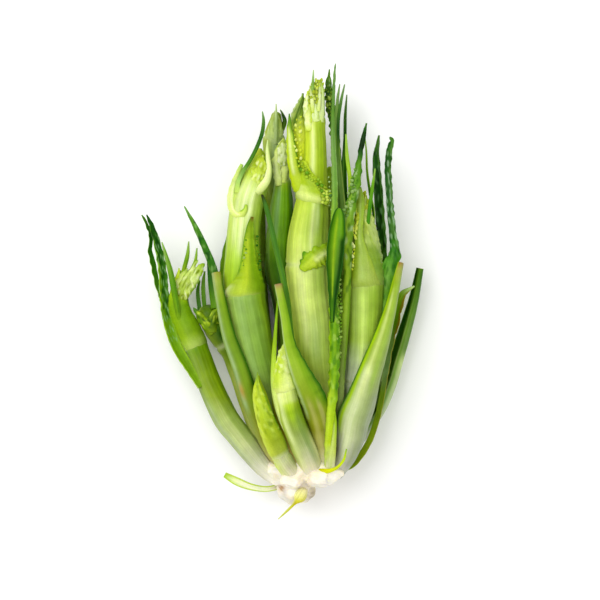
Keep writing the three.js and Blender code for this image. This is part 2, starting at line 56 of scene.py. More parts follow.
DOME_RINGS = 6  # rings that round off the tip of a shoot
UP = (0, 0, 1)
TIPS = (0, 1, 0.2)  # the way the buds lean
TURN = 2 * math.pi
PHASES = (0, 6.28)  # where a wave may start
LEAST_HALF = 0.25  # the least half width of a spine, in millimetres
FINE = 800  # samples that measure the length of a spine
ARC_POINTS = 13  # points across the tube that a spray of buds grows on
CROWN_GRAIN = 0.7  # millimetres between the points of the crown's skin
JOINT_FOLDS = ((0.5, -3.2, 3), (-0.7, 0, 0.9), (0.3, 1.8, 1.4))  # heights, places and widths, in mm
NO_TINT = ("#000000", 0)
JOINT_PALE = "#e9efb4"  # the pale ring at a leaf joint

# Colours that several pieces share, from base to tip.
FRESH = [(0, "#b9d24c"), (0.5, "#a5c62c"), (1, "#6f9c14")]
DEEP = [(0, "#6a9a2c"), (0.3, "#4f7e22"), (0.8, "#3a6a1c"), (1, "#5c8a34")]
DEEP_IN = [(0, "#4f7c1e"), (0.4, "#2f5a16"), (1, "#3a6620")]
SPRING = [(0, "#9aba4c"), (0.4, "#86ac34"), (1, "#6f9a2c")]
DARK_IN = [(0, "#86a040"), (0.3, "#3f6c10"), (1, "#2f560c")]
CREAM = "#ece6c8"


# --- small tools --------------------------------------------------------------


def linear(hex_colour):
    """A linear RGB colour from an sRGB hex value."""
    value = hex_colour.lstrip("#")
    parts = [int(value[i:i + 2], 16) / 255 for i in (0, 2, 4)]
    return np.array([c / 12.92 if c <= 0.04045 else ((c + 0.055) / 1.055) ** 2.4 for c in parts])


def shades(stops, share):
    """Linear colours at each share of a length, from (share, hex) stops."""
    places = [place for place, _ in stops]
    colours = np.array([linear(colour) for _, colour in stops])
    return np.stack([np.interp(share, places, colours[:, k]) for k in range(3)], axis=-1)


def mix(first, second, weight):
    weight = np.clip(weight, 0, 1)[..., None]
    return first * (1 - weight) + second * weight


def smoothstep(low, high, value):
    t = np.clip((value - low) / (high - low), 0, 1)
    return t * t * (3 - 2 * t)


def bell(value, middle, width):
    return np.exp(-(((value - middle) / width) ** 2))


def dice(name):
    """Random numbers that depend only on a piece's name."""
    return np.random.default_rng(sum((i + 1) * ord(c) for i, c in enumerate(name)))


def drift(value, wavelength, rng):
    """A smooth wandering number between about -1 and 1, over lengths of about a wavelength."""
    total = 0
    for k in range(3):
        angle = TURN * value * (1 + 0.63 * k) / wavelength
        total = total + np.sin(angle + rng.uniform(*PHASES)) / (1 + k)
    return total / 1.5


def mottle(a, b, size, rng):
    """A smooth lumpy field over two lengths, with lumps of about the given size."""
    waves = 7
    total = 0
    for _ in range(waves):
        turn = rng.uniform(*PHASES)
        pitch = TURN / (size * rng.uniform(0.7, 1.6))
        total = total + np.sin((a * math.cos(turn) + b * math.sin(turn)) * pitch + rng.uniform(*PHASES))
    return total / math.sqrt(waves)


def spline(rows, share):
    """A uniform Catmull-Rom curve through rows, at each share of its length in rows."""
    rows = np.asarray(rows, float)
    padded = np.vstack([2 * rows[0] - rows[1], rows, 2 * rows[-1] - rows[-2]])
    place = np.clip(share, 0, 1) * (len(rows) - 1)
    first = np.minimum(place.astype(int), len(rows) - 2)
    t = (place - first)[:, None]
    before, start, end, after = (padded[first + k] for k in range(4))
    leave, arrive = (end - before) / 2, (after - start) / 2
    return (
        (2 * t**3 - 3 * t**2 + 1) * start + (t**3 - 2 * t**2 + t) * leave
        + (3 * t**2 - 2 * t**3) * end + (t**3 - t**2) * arrive
    )


def unit(vectors):
    return vectors / np.maximum(np.linalg.norm(vectors, axis=-1), 1e-9)[..., None]


def even_shares(points, step):
    """Shares of a finely sampled line that cut it into equal steps, and the lengths at them."""
    lengths = np.concatenate([[0], np.cumsum(np.linalg.norm(np.diff(points, axis=0), axis=1))])
    s = np.linspace(0, lengths[-1], max(6, round(lengths[-1] / step)) + 1)
    return np.interp(s, lengths, np.linspace(0, 1, len(points))), s


class Run:
    """A spine sampled at even steps: centre, half width, and the directions along, side and inward."""

    def __init__(self, rows, face, step):
        shares, self.s = even_shares(spline(rows, np.linspace(0, 1, FINE))[:, :3], step)
        sampled = spline(rows, shares)
        self.length = self.s[-1]
        self.centre = sampled[:, :3]
        self.half = np.maximum(sampled[:, 3], LEAST_HALF)
        self.along = unit(np.gradient(self.centre, axis=0))
        self.side = unit(np.cross(self.along, np.array(face, float)))
        self.inward = np.cross(self.side, self.along)

    def at_y(self, y):
        """The length along the spine at which it passes a given y, and past its tip, how far past."""
        return np.interp(y, self.centre[:, 1], self.s) + np.maximum(y - self.centre[-1, 1], 0)

    def over(self, s, angle, lift):
        """Points at a height over the skin of a round shoot, and the directions from there to its spine."""
        def here(values):
            return np.stack([np.interp(s, self.s, values[:, k]) for k in range(3)], axis=-1)

        beyond = np.maximum(s - self.length, 0)[..., None]
        sideways, upward = np.cos(angle)[..., None], np.sin(angle)[..., None]
        outward = here(self.side) * sideways + here(self.inward) * upward
        height = np.interp(s, self.s, self.half) + lift
        return here(self.centre) + self.along[-1] * beyond + outward * height[..., None], -outward


def under_shine(colour):
    """The pigment that looks like a colour once the light on it and its shine are counted."""
    return np.clip(np.maximum(colour * TONE - SHEEN, LEAST_PIGMENT * colour), 0.001, 1)


def build(name, points, faces, skin, grain, materials, face_slots=None, sharp=()):
    """A mesh object from points in millimetres, with its colour, painted light and shade included, and
    grain at each point.
    """
    mesh = bpy.data.meshes.new(name)
    mesh.from_pydata(((points - ORIGIN) * MM).tolist(), [], faces)
    colours = np.concatenate([under_shine(skin), np.ones((len(skin), 1))], axis=1)
    mesh.attributes.new("skin", "FLOAT_COLOR", "POINT").data.foreach_set("color", colours.ravel())
    mesh.attributes.new("grain", "FLOAT_VECTOR", "POINT").data.foreach_set("vector", grain.ravel())
    for material in materials:
        mesh.materials.append(material)
    mesh.shade_smooth()
    if face_slots is not None:
        mesh.polygons.foreach_set("material_index", face_slots)
    if len(sharp):
        ends = {tuple(sorted(edge)) for edge in sharp}
        flags = [tuple(sorted(edge.vertices)) in ends for edge in mesh.edges]
        mesh.attributes.new("sharp_edge", "BOOLEAN", "EDGE").data.foreach_set("value", flags)
    mesh.update()
    piece = bpy.data.objects.new(name, mesh)
    bpy.context.scene.collection.objects.link(piece)
    return piece


def ring_faces(rings, around):
    """Quads between rings of points, facing out of a shape whose rings turn from side to inward."""
    i, j = np.meshgrid(np.arange(rings - 1), np.arange(around), indexing="ij")
    after = (j + 1) % around
    here, above = i * around, (i + 1) * around
    quads = np.stack([here + j, above + j, above + after, here + after], -1)
    return quads.reshape(-1, 4).tolist()


def between(share, low, high):
    """1 from one share of the length to another, running out softly past them."""
    return smoothstep(low - 0.06, low + 0.02, share) * (1 - smoothstep(high - 0.02, high + 0.06, share))


def join_in(piece, name):
    """Puts a finished piece on the head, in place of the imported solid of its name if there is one."""
    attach(piece, "root")
    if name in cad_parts:
        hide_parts(name)


# --- materials ----------------------------------------------------------------


def add(tree, kind, settings=None, **inputs):
    """Adds a node. Inputs are given by identifier, or by name with _ for a space."""
    node = tree.nodes.new(kind)
    for name, value in (settings or {}).items():
        setattr(node, name, value)
    for name, value in inputs.items():
        exact = [socket for socket in node.inputs if socket.identifier == name]
        socket = exact[0] if exact else node.inputs[name.replace("_", " ")]
        if isinstance(value, bpy.types.NodeSocket):
            tree.links.new(value, socket)
        else:
            socket.default_value = value
    return node


def blank_material(name):
    material = bpy.data.materials.new(name)
    material.use_nodes = True
    material.node_tree.nodes.clear()
    return material, material.node_tree


def plant_skin(name, roughness, coat, flesh, streak, streak_pitch, bump, speckle):
    """Living epidermis over wet flesh. Its colour is the piece's skin colour, painted light and shade
    included, broken up by veins and speckles.

    flesh is how much light goes in, streak how far the veins change the colour, streak_pitch their distance
    and bump their height in millimetres, and speckle how far small dots lighten and darken it.
    """
    material, tree = blank_material(name)
    skin = add(tree, "ShaderNodeAttribute", {"attribute_name": "skin"})
    grain = add(tree, "ShaderNodeAttribute", {"attribute_name": "grain"})
    along_veins, patches_per_mm, dots_per_mm = 0.035, 0.11, 1.3
    drawn_out = add(tree, "ShaderNodeMapping", Vector=grain.outputs["Vector"], Scale=(1, 1, along_veins))

    def noise(vector, scale, detail):
        return add(tree, "ShaderNodeTexNoise", Vector=vector.outputs["Vector"], Scale=scale, Detail=detail)

    veins = noise(drawn_out, 1 / streak_pitch, 4)
    patches = noise(grain, patches_per_mm, 3)
    dots = noise(grain, dots_per_mm, 2)

    def spread(source, low, high):
        return add(
            tree, "ShaderNodeMapRange", Value=source.outputs["Fac"],
            From_Min=0.3, From_Max=0.7, To_Min=low, To_Max=high,
        ).outputs[0]

    vein_tint = add(
        tree, "ShaderNodeMix", {"data_type": "RGBA"}, Factor_Float=spread(veins, 0, 1),
        A_Color=(1 - streak, 1 - 0.6 * streak, 1 - 1.8 * streak, 1),
        B_Color=(1 + 0.7 * streak, 1 + 0.6 * streak, 1 + 1.1 * streak, 1),
    )
    tone = add(
        tree, "ShaderNodeMath", {"operation": "MULTIPLY"},
        Value=spread(patches, 0.9, 1.1), Value_001=spread(dots, 1 - speckle, 1 + speckle),
    )
    veined = add(
        tree, "ShaderNodeVectorMath", {"operation": "MULTIPLY"},
        Vector=skin.outputs["Color"], Vector_001=vein_tint.outputs[2],
    )
    colour = add(
        tree, "ShaderNodeVectorMath", {"operation": "SCALE"},
        Vector=veined.outputs[0], Scale=tone.outputs[0],
    )
    raised = add(tree, "ShaderNodeBump", Height=veins.outputs["Fac"], Strength=1.0, Distance=bump * MM)
    shader = add(
        tree, "ShaderNodeBsdfPrincipled", Base_Color=colour.outputs[0],
        Roughness=spread(patches, roughness - 0.06, roughness + 0.1),
        Normal=raised.outputs[0], IOR=1.28, Specular_IOR_Level=0.2, Coat_Weight=coat, Coat_Roughness=0.2,
        Subsurface_Weight=flesh, Subsurface_Scale=1.8 * MM, Subsurface_Radius=(1.0, 0.9, 0.3),
    )
    output = add(tree, "ShaderNodeOutputMaterial")
    tree.links.new(shader.outputs[0], output.inputs["Surface"])
    return material


def stained(name, stops, size, roughness, depth, flesh):
    """Bare flesh with stains of a size and a depth in millimetres, coloured by (share, hex) stops."""
    material, tree = blank_material(name)
    place = add(tree, "ShaderNodeTexCoord")
    stain = add(tree, "ShaderNodeTexNoise", Vector=place.outputs["Object"], Scale=1 / (size * MM), Detail=3)
    ramp = add(tree, "ShaderNodeValToRGB", Fac=stain.outputs["Fac"])
    elements = ramp.color_ramp.elements
    while len(elements) < len(stops):
        elements.new(0.5)
    for element, (where, colour) in zip(elements, stops):
        element.position = where
        element.color = (*linear(colour), 1)
    rough = add(tree, "ShaderNodeBump", Height=stain.outputs["Fac"], Strength=1.0, Distance=depth * MM)
    shader = add(
        tree, "ShaderNodeBsdfPrincipled", Base_Color=ramp.outputs["Color"], Roughness=roughness,
        Normal=rough.outputs[0], IOR=1.36, Subsurface_Weight=flesh, Subsurface_Scale=1.5 * MM,
    )
    output = add(tree, "ShaderNodeOutputMaterial")
    tree.links.new(shader.outputs[0], output.inputs["Surface"])
    return material


# Chicory shoot epidermis: taut, waxy and finely veined, with soft long highlights.
SHOOT = plant_skin(
    "shoot_epidermis", roughness=0.4, coat=0.06, flesh=0.25,
    streak=0.11, streak_pitch=1.1, bump=0.16, speckle=0.03,
)
# Leaf stalk epidermis: the same skin over coarser strings, a little duller with wax bloom.
STALK = plant_skin(
    "stalk_epidermis", roughness=0.45, coat=0.03, flesh=0.2,
    streak=0.12, streak_pitch=1.0, bump=0.14, speckle=0.03,
)
# Young bract: thin, blistered and glossy.
BRACT = plant_skin(
    "bract_epidermis", roughness=0.42, coat=0.05, flesh=0.25,
    streak=0.12, streak_pitch=1.4, bump=0.14, speckle=0.08,
)
# Leaf blade: thin and dark, with fine parallel veins and a satin gloss.
LEAF = plant_skin(
    "leaf_epidermis", roughness=0.45, coat=0.02, flesh=0.12,
    streak=0.17, streak_pitch=0.8, bump=0.1, speckle=0.08,
)
# Flower bud: small, plump, waxy and pale, greener at the tip.
BUD = plant_skin(
    "flower_bud_epidermis", roughness=0.4, coat=0.1, flesh=0.3,
    streak=0.05, streak_pitch=1.5, bump=0.05, speckle=0.05,
)
# Crown flesh: matt, starchy and cream, bruised brown where it was trimmed.
FLESH = plant_skin(
    "crown_flesh", roughness=0.55, coat=0.0, flesh=0.35,
    streak=0.04, streak_pitch=2.5, bump=0.12, speckle=0.03,
)
# Cut stalk end: pale wet pith that has dried and browned within a day or two.
CUT = stained(
    "cut_stalk_face", ((0.36, "#b08a4a"), (0.5, "#c3a765"), (0.66, "#dccf9c")),
    size=1.4, roughness=0.6, depth=0.2, flesh=0.2,
)


# --- shoots -------------------------------------------------------------------

PARENTS = {}  # the run of every shoot, for what grows on it


def painted_side_light(colour, side_share, left, right):
    """Paints light and shade on the faces that look left and right, as tints. side_share says how far one
    looks right, from -1 to 1.
    """
    colour = mix(colour, linear(left[0]), left[1] * np.clip(-side_share, 0, 1) ** 1.3)
    return mix(colour, linear(right[0]), right[1] * np.clip(side_share, 0, 1) ** 1.3)


def shoot(
    name, rows, joints, stops, left, right, ribs=9, depth=0.3, around=88, under="#7f9a3a",
    material=SHOOT, stripes=(),
):
    """A ribbed round shoot that replaces a packed one. joints are the y of its leaf joints.

    stops are its colours from base to tip, left, right and under tint those sides, as (colour, weight),
    as painted light and shade by which way a face turns.
    A stripe is (angle, width, colour, weight, from y, to y), in degrees with 0 to the right and 90 up.
    Stripes are its own streaks, and also painted highlights and painted shade.
    """
    rng = dice(name)
    run = Run(rows, UP, SHOOT_STEP)
    PARENTS[name] = run
    dome = np.linspace(0, math.pi / 2, DOME_RINGS + 1)[1:]
    end, bluntness, point = run.half[-1], 0.9, 0.02
    s_line = np.concatenate([run.s, run.length + bluntness * end * np.sin(dome)])
    radius_line = np.concatenate([run.half, np.maximum(end * np.cos(dome), point)])
    turn = np.linspace(0, TURN, around, endpoint=False)
    s, angle = np.meshgrid(s_line, turn, indexing="ij")
    radius = np.repeat(radius_line[:, None], around, axis=1)
    widest = run.half.max()

    # The ribs wander round the shoot, with finer ribs between them and soft dents over them.
    lean_most, lean_length, dent_depth, dent_size = 0.25, 90, 0.22, 24
    lean = lean_most * drift(s, lean_length, rng)
    rib = np.cos(ribs * angle + lean * 4 + rng.uniform(0, 6))
    rib = rib + 0.6 * np.cos((2 * ribs + 3) * angle + lean * 7 + rng.uniform(0, 6))
    fine = 0.35 * np.cos((5 * ribs + 4) * angle + lean * 9)
    relief = (rib + fine) * 0.6 * depth * radius / widest
    dents = mottle(s, angle * widest, dent_size, rng) * np.abs(np.sin(angle / 2))
    relief = relief + dent_depth * dents

    # A leaf joint swells a little, closes to a crease and swells again.
    band = np.zeros_like(s)
    for y in joints:
        there = run.at_y(y) + 0.8 * np.sin(angle * 2 + 1) + 0.6 * np.sin(angle + 2)
        for fold, place, width in JOINT_FOLDS:
            relief = relief + fold * bell(s, there + place, width)
        band = band + bell(s, there + 0.6, 1.6)
    slight = 3  # a radius under which the relief dies away, in millimetres
    height = relief * smoothstep(0, slight, radius)
    points, _ = run.over(s, angle, radius - np.interp(s, run.s, run.half) + height)

    # Its left and right sides get painted light and painted shade only where it has grown out of the pale
    # crown, and the faces turned to the floor get the under tint, which is painted light and shade too.
    pale_until, green_from, under_weight = 0.03, 0.25, 0.6
    share = s_line / run.length
    skin = np.repeat(shades(stops, share)[:, None, :], around, axis=1)
    grown = np.repeat(smoothstep(pale_until, green_from, share)[:, None], around, axis=1)
    skin = mix(skin, painted_side_light(skin, np.cos(angle), left, right), grown)
    skin = mix(skin, linear(under), under_weight * np.clip(-np.sin(angle), 0, 1))
    degrees = np.degrees(angle)
    spread, strength, ends = 1.25, 0.75, 8  # how wide and strong a stripe shows, and its soft ends in mm
    # Stripes paint its own streaks, and also painted highlights and painted shade along it.
    for where, width, colour, weight, low, high in stripes:
        apart = np.abs((degrees - where + 6 * lean + 180) % 360 - 180)
        y = points[..., 1]
        inside = smoothstep(low - ends, low + ends, y) * (1 - smoothstep(high - ends, high + ends, y))
        skin = mix(skin, linear(colour), strength * weight * bell(apart, 0, spread * width) * inside)
    # The rib crests are lighter and the grooves darker: the ribs' own paler colour, with painted shade in
    # the grooves.
    crest, rib_shade, fine_shade = 1.6, 0.06, 0.14
    skin = skin * (1 + rib_shade * np.clip(rib, -crest, crest) / crest + fine_shade * fine)[..., None]
    skin = mix(skin, linear(JOINT_PALE), 0.4 * np.clip(band, 0, 1))
    grain = np.stack([widest * np.cos(angle), widest * np.sin(angle), s], axis=-1)

    # Quads round the skin, and a cap at each end.
    rings = len(s_line)
    faces = ring_faces(rings, around)
    faces.append(list(range(around)))
    faces.append([rings * around - 1 - j for j in range(around)])
    piece = build(
        name + "_ribbed", points.reshape(-1, 3), faces, skin.reshape(-1, 3), grain.reshape(-1, 3),
        [material],
    )
    join_in(piece, name)


# --- stalks, bracts and leaves ------------------------------------------------


def slab(
    name, suffix, s, x, half, middle, normal, thick, outer, inner, material, slot, rib=(0, 0.2),
    rib_colour=None, edge=None, edge_from=0.62, beads=(), left=NO_TINT, right=NO_TINT, thin_from=3.5,
    cut=False, bands=(), inner_bands=(), blots=(),
):
    """A thin solid either side of a middle surface, a grid with rows along it and columns across.

    thick is its thickness at the middle and edges, outer and inner its colours from base to tip on the
    two sides, rib the height of the midrib and the share of the width it takes, left and right tints for
    the faces that look that way, which paint light and shade by side. A band runs along one side of the
    slab, and beads along both: (place across from -1 to 1, width, colour, weight, from share, to share),
    and their distance for beads. Bands are its own streaks and margins and also painted highlights and
    painted shade; beads are painted glints and painted shade on its crinkles.
    A blot is a scatter of blotches: (size, colour, weight, from share, to share), its own mottling and
    also painted highlights on lumps and painted shade in creases.
    """
    rng = dice(name + suffix + "s")
    columns = x.shape[1]
    widths = half.max(axis=1)[:, None]
    thinnest, inner_rib, rim_reach = 0.3, 0.35, 0.35
    thinning = np.clip(thinnest + widths / thin_from, thinnest, 1)
    thickness = (thick[0] + (thick[1] - thick[0]) * np.abs(x) ** 1.4) * thinning
    midrib = bell(x, 0, rib[1])
    outside = middle - normal * (thickness / 2 + rib[0] * midrib * thinning)[..., None]
    inside = middle + normal * (thickness / 2 - inner_rib * rib[0] * midrib * thinning)[..., None]
    edges, next_in = middle[:, [0, -1]], middle[:, [1, -2]]
    rim = edges + unit(edges - next_in) * (rim_reach * thickness[:, [0, -1]])[..., None]
    loop = np.concatenate([outside, rim[:, 1:2], inside[:, ::-1], rim[:, 0:1]], axis=1)

    # Which way each part of the outer side looks, for the painted light and shade of the side tints.
    share = s[:, 0] / s[-1, 0]
    across = np.gradient(middle, axis=1)
    down = np.gradient(middle, axis=0)
    facing = unit(np.cross(across, down))
    facing = facing * np.sign(np.sum(facing * normal, axis=-1))[..., None]

    def painted(stops, towards):
        paint = np.repeat(shades(stops, share)[:, None, :], columns, axis=1)
        # Painted light and painted shade on the faces that look left and right.
        paint = painted_side_light(paint, facing[..., 0] * towards, left, right)
        if rib_colour:
            paint = mix(paint, linear(rib_colour), 0.95 * midrib)
        if edge:
            paint = mix(paint, linear(edge), smoothstep(edge_from, 0.95, np.abs(x)))
        # Bands paint its own streaks and margins, and also painted highlights and painted shade.
        for place, width, colour, weight, low, high in bands if towards < 0 else inner_bands:
            there = weight * bell(x, place, width) * between(share, low, high)[:, None]
            paint = mix(paint, linear(colour), there)
        # Beads paint glints on the crinkles and dark shade between them: painted highlights and painted
        # shade.
        for place, width, colour, weight, low, high, pitch in beads:
            wander = 2.2 * drift(s, 5 * pitch, rng) + drift(s, 2.3 * pitch, rng)
            bead_light = smoothstep(0.3, 0.85, np.sin(TURN * s / pitch + wander))
            bead_light = bead_light * between(share, low, high)[:, None]
            paint = mix(paint, linear(colour), weight * bead_light * bell(x, place, width))
        # Blots paint the skin's own mottling, and also painted highlights on lumps and painted shade in
        # creases.
        for size, colour, weight, low, high in blots:
            blotch = smoothstep(0.2, 1.1, mottle(0.55 * s, 1.5 * x * half, size, rng))
            paint = mix(paint, linear(colour), weight * blotch * between(share, low, high)[:, None])
        return paint

    outer_paint, inner_paint = painted(outer, -1), painted(inner, 1)
    skin = np.concatenate(
        [outer_paint, outer_paint[:, -1:], inner_paint[:, ::-1], outer_paint[:, 0:1]], axis=1
    )
    apart = 3.0  # between the grain of the two sides, so that they differ
    flat = np.stack([x * half, np.zeros_like(x), s], axis=-1)
    lifted = flat + np.array([0, apart, 0])
    grain = np.concatenate([flat, flat[:, -1:], lifted[:, ::-1], flat[:, 0:1]], axis=1)

    # Quads round the slab, and at each end quads between its sides and a triangle at each rim.
    rings, around = loop.shape[:2]
    faces = ring_faces(rings, around)
    slots = [0] * len(faces)
    sharp = []
    last = 2 * columns + 1
    for base, end in ((0, False), ((rings - 1) * around, True)):
        caps = [
            [base + j, base + j + 1, base + last - 2 - j, base + last - 1 - j] for j in range(columns - 1)
        ]
        caps += [
            [base + columns - 1, base + columns, base + columns + 1], [base + last, base, base + last - 1]
        ]
        faces += [cap[::-1] if end else cap for cap in caps]
        slots += [1 if end and cut else 0] * len(caps)
        sharp += [(base + j, base + (j + 1) % around) for j in range(around)]
    piece = build(
        name + suffix, loop.reshape(-1, 3), faces, skin.reshape(-1, 3), grain.reshape(-1, 3),
        [material, CUT] if cut else [material], slots, sharp if cut else (),
    )
    join_in(piece, name)


NO_TEETH = (0, 5)  # the size and distance of an edge's teeth
ALL_ALONG = (0, 1)  # the shares of the length that ripple


def edge_work(rng, s, x, width, wave, teeth, crinkle, length, wavy):
    """How far edges are drawn out by teeth, as a factor, and how far a blade ripples and blisters."""
    ends, blister_size = 8, 4.2  # the calm length at each end, and how big its blisters are, in mm
    fade = np.clip(np.minimum(s, length - s) / ends, 0, 1) * between(s / length, *wavy)
    seed = np.where(x < 0, rng.uniform(0, 50), rng.uniform(0, 50))
    jag = np.abs(((s + seed * 3 + 1.5 * drift(s, 17, rng)) / teeth[1]) % 1 - 0.35)
    reach = 1 + teeth[0] * smoothstep(0.55, 1, np.abs(x)) * (1 - 1.8 * jag) * fade
    ripple = wave[0] * np.abs(x) ** 1.6 * np.sin(
        TURN * s / wave[1] + seed + 1.3 * drift(s, 3.1 * wave[1], rng)
    ) * fade
    return reach, ripple + crinkle * mottle(s, x * width, blister_size, rng) * (0.3 + 0.7 * np.abs(x))


def blade(
    name, rows, face, curl, thick, columns=17, flanks=(1, 1), wave=(0, 12), teeth=NO_TEETH,
    crinkle=0.0, suffix="_veined", wavy=ALL_ALONG, **looks,
):
    """A thin curled slab along a spine: a stalk, a bract or a leaf.

    curl is half of the angle that the section bends through, flanks how wide each half is, wave the
    height and length of its ripples, teeth the size and distance of its teeth, crinkle the height of its
    blisters, and wavy the shares of the length that ripple.
    """
    rng = dice(name)
    run = Run(rows, face, BLADE_STEP)
    s, x = np.meshgrid(run.s, np.linspace(-1, 1, columns), indexing="ij")
    half = run.half[:, None] * np.where(x < 0, flanks[0], flanks[1])
    reach, ripple = edge_work(rng, s, x, half, wave, teeth, crinkle, run.length, wavy)
    half = half * reach
    bend = math.radians(curl)
    radius, angle = half / bend, x * bend
    side, inward = run.side[:, None, :], run.inward[:, None, :]
    normal = inward * np.cos(angle)[..., None] - side * np.sin(angle)[..., None]
    middle = (
        run.centre[:, None, :] + side * (radius * np.sin(angle))[..., None]
        + inward * (radius * (1 - np.cos(angle)))[..., None]
        + normal * ripple[..., None]
    )
    slab(name, suffix, s, x, half, middle, normal, thick, **looks)


def sheath(
    name, parent, rows, thick, wave=(0, 12), crinkle=0.0, roll=0.0, **looks,
):
    """A bract that clasps its shoot. A row is the y and angle of its left edge, those of its right edge,
    and its height over the shoot's skin. roll is how far the edges stand off."""
    rng = dice(name)
    run = PARENTS[parent]
    columns = 25

    def grid(shares, x):
        low = spline(rows, shares)
        t = (1 - x) / 2
        y = low[:, 0:1] * (1 - t) + low[:, 2:3] * t
        angle = np.radians(low[:, 1:2] * (1 - t) + low[:, 3:4] * t)
        return run.at_y(y), angle, low[:, 4:5]

    fine_shares = np.linspace(0, 1, 300)
    line, _ = run.over(*grid(fine_shares, np.zeros((len(fine_shares), 1))))
    shares, lengths = even_shares(line[:, 0], BLADE_STEP)
    s, x = np.meshgrid(lengths, np.linspace(-1, 1, columns), indexing="ij")
    there, angle, lift = grid(shares, x)
    flat, _ = run.over(there, angle, lift + 0 * x)
    half = np.repeat(np.linalg.norm(flat[:, 0] - flat[:, -1], axis=-1)[:, None] / 2, columns, axis=1)
    _, ripple = edge_work(rng, s, x, half, wave, NO_TEETH, crinkle, lengths[-1], ALL_ALONG)
    middle, normal = run.over(there, angle, lift + roll * np.abs(x) ** 4 * smoothstep(0, 6, s) + ripple)
    slab(
        name, "_crinkled", s, x, half, middle, normal, thick, inner=FRESH, material=BRACT,
        slot="bract_skin", **looks,
    )


def stalk(name, **facts):
    """A leaf stalk, channelled along its inner side and cut across at its end."""
    blade(name, material=STALK, slot="stalk_skin", suffix="_channelled", columns=29, cut=True, **facts)


def bract(name, **facts):
    """A bract that stands free of its shoot."""
    usual = {"material": BRACT, "suffix": "_crinkled", "inner": FRESH}
    blade(name, slot="bract_skin", **{**usual, **facts})


def tuft(name, **facts):
    """A small bract of the young growth at a tip, too fine to have a solid."""
    bract(name, **{"thick": (1.2, 0.5), **facts})


def leaf(name, **facts):
    """A narrow leaf or a leaflet."""
    usual = {"curl": 40, "thick": (1.4, 0.6), "outer": DEEP, "inner": DEEP_IN}
    blade(name, material=LEAF, slot="leaf_blade", **{**usual, **facts})


# --- buds ---------------------------------------------------------------------


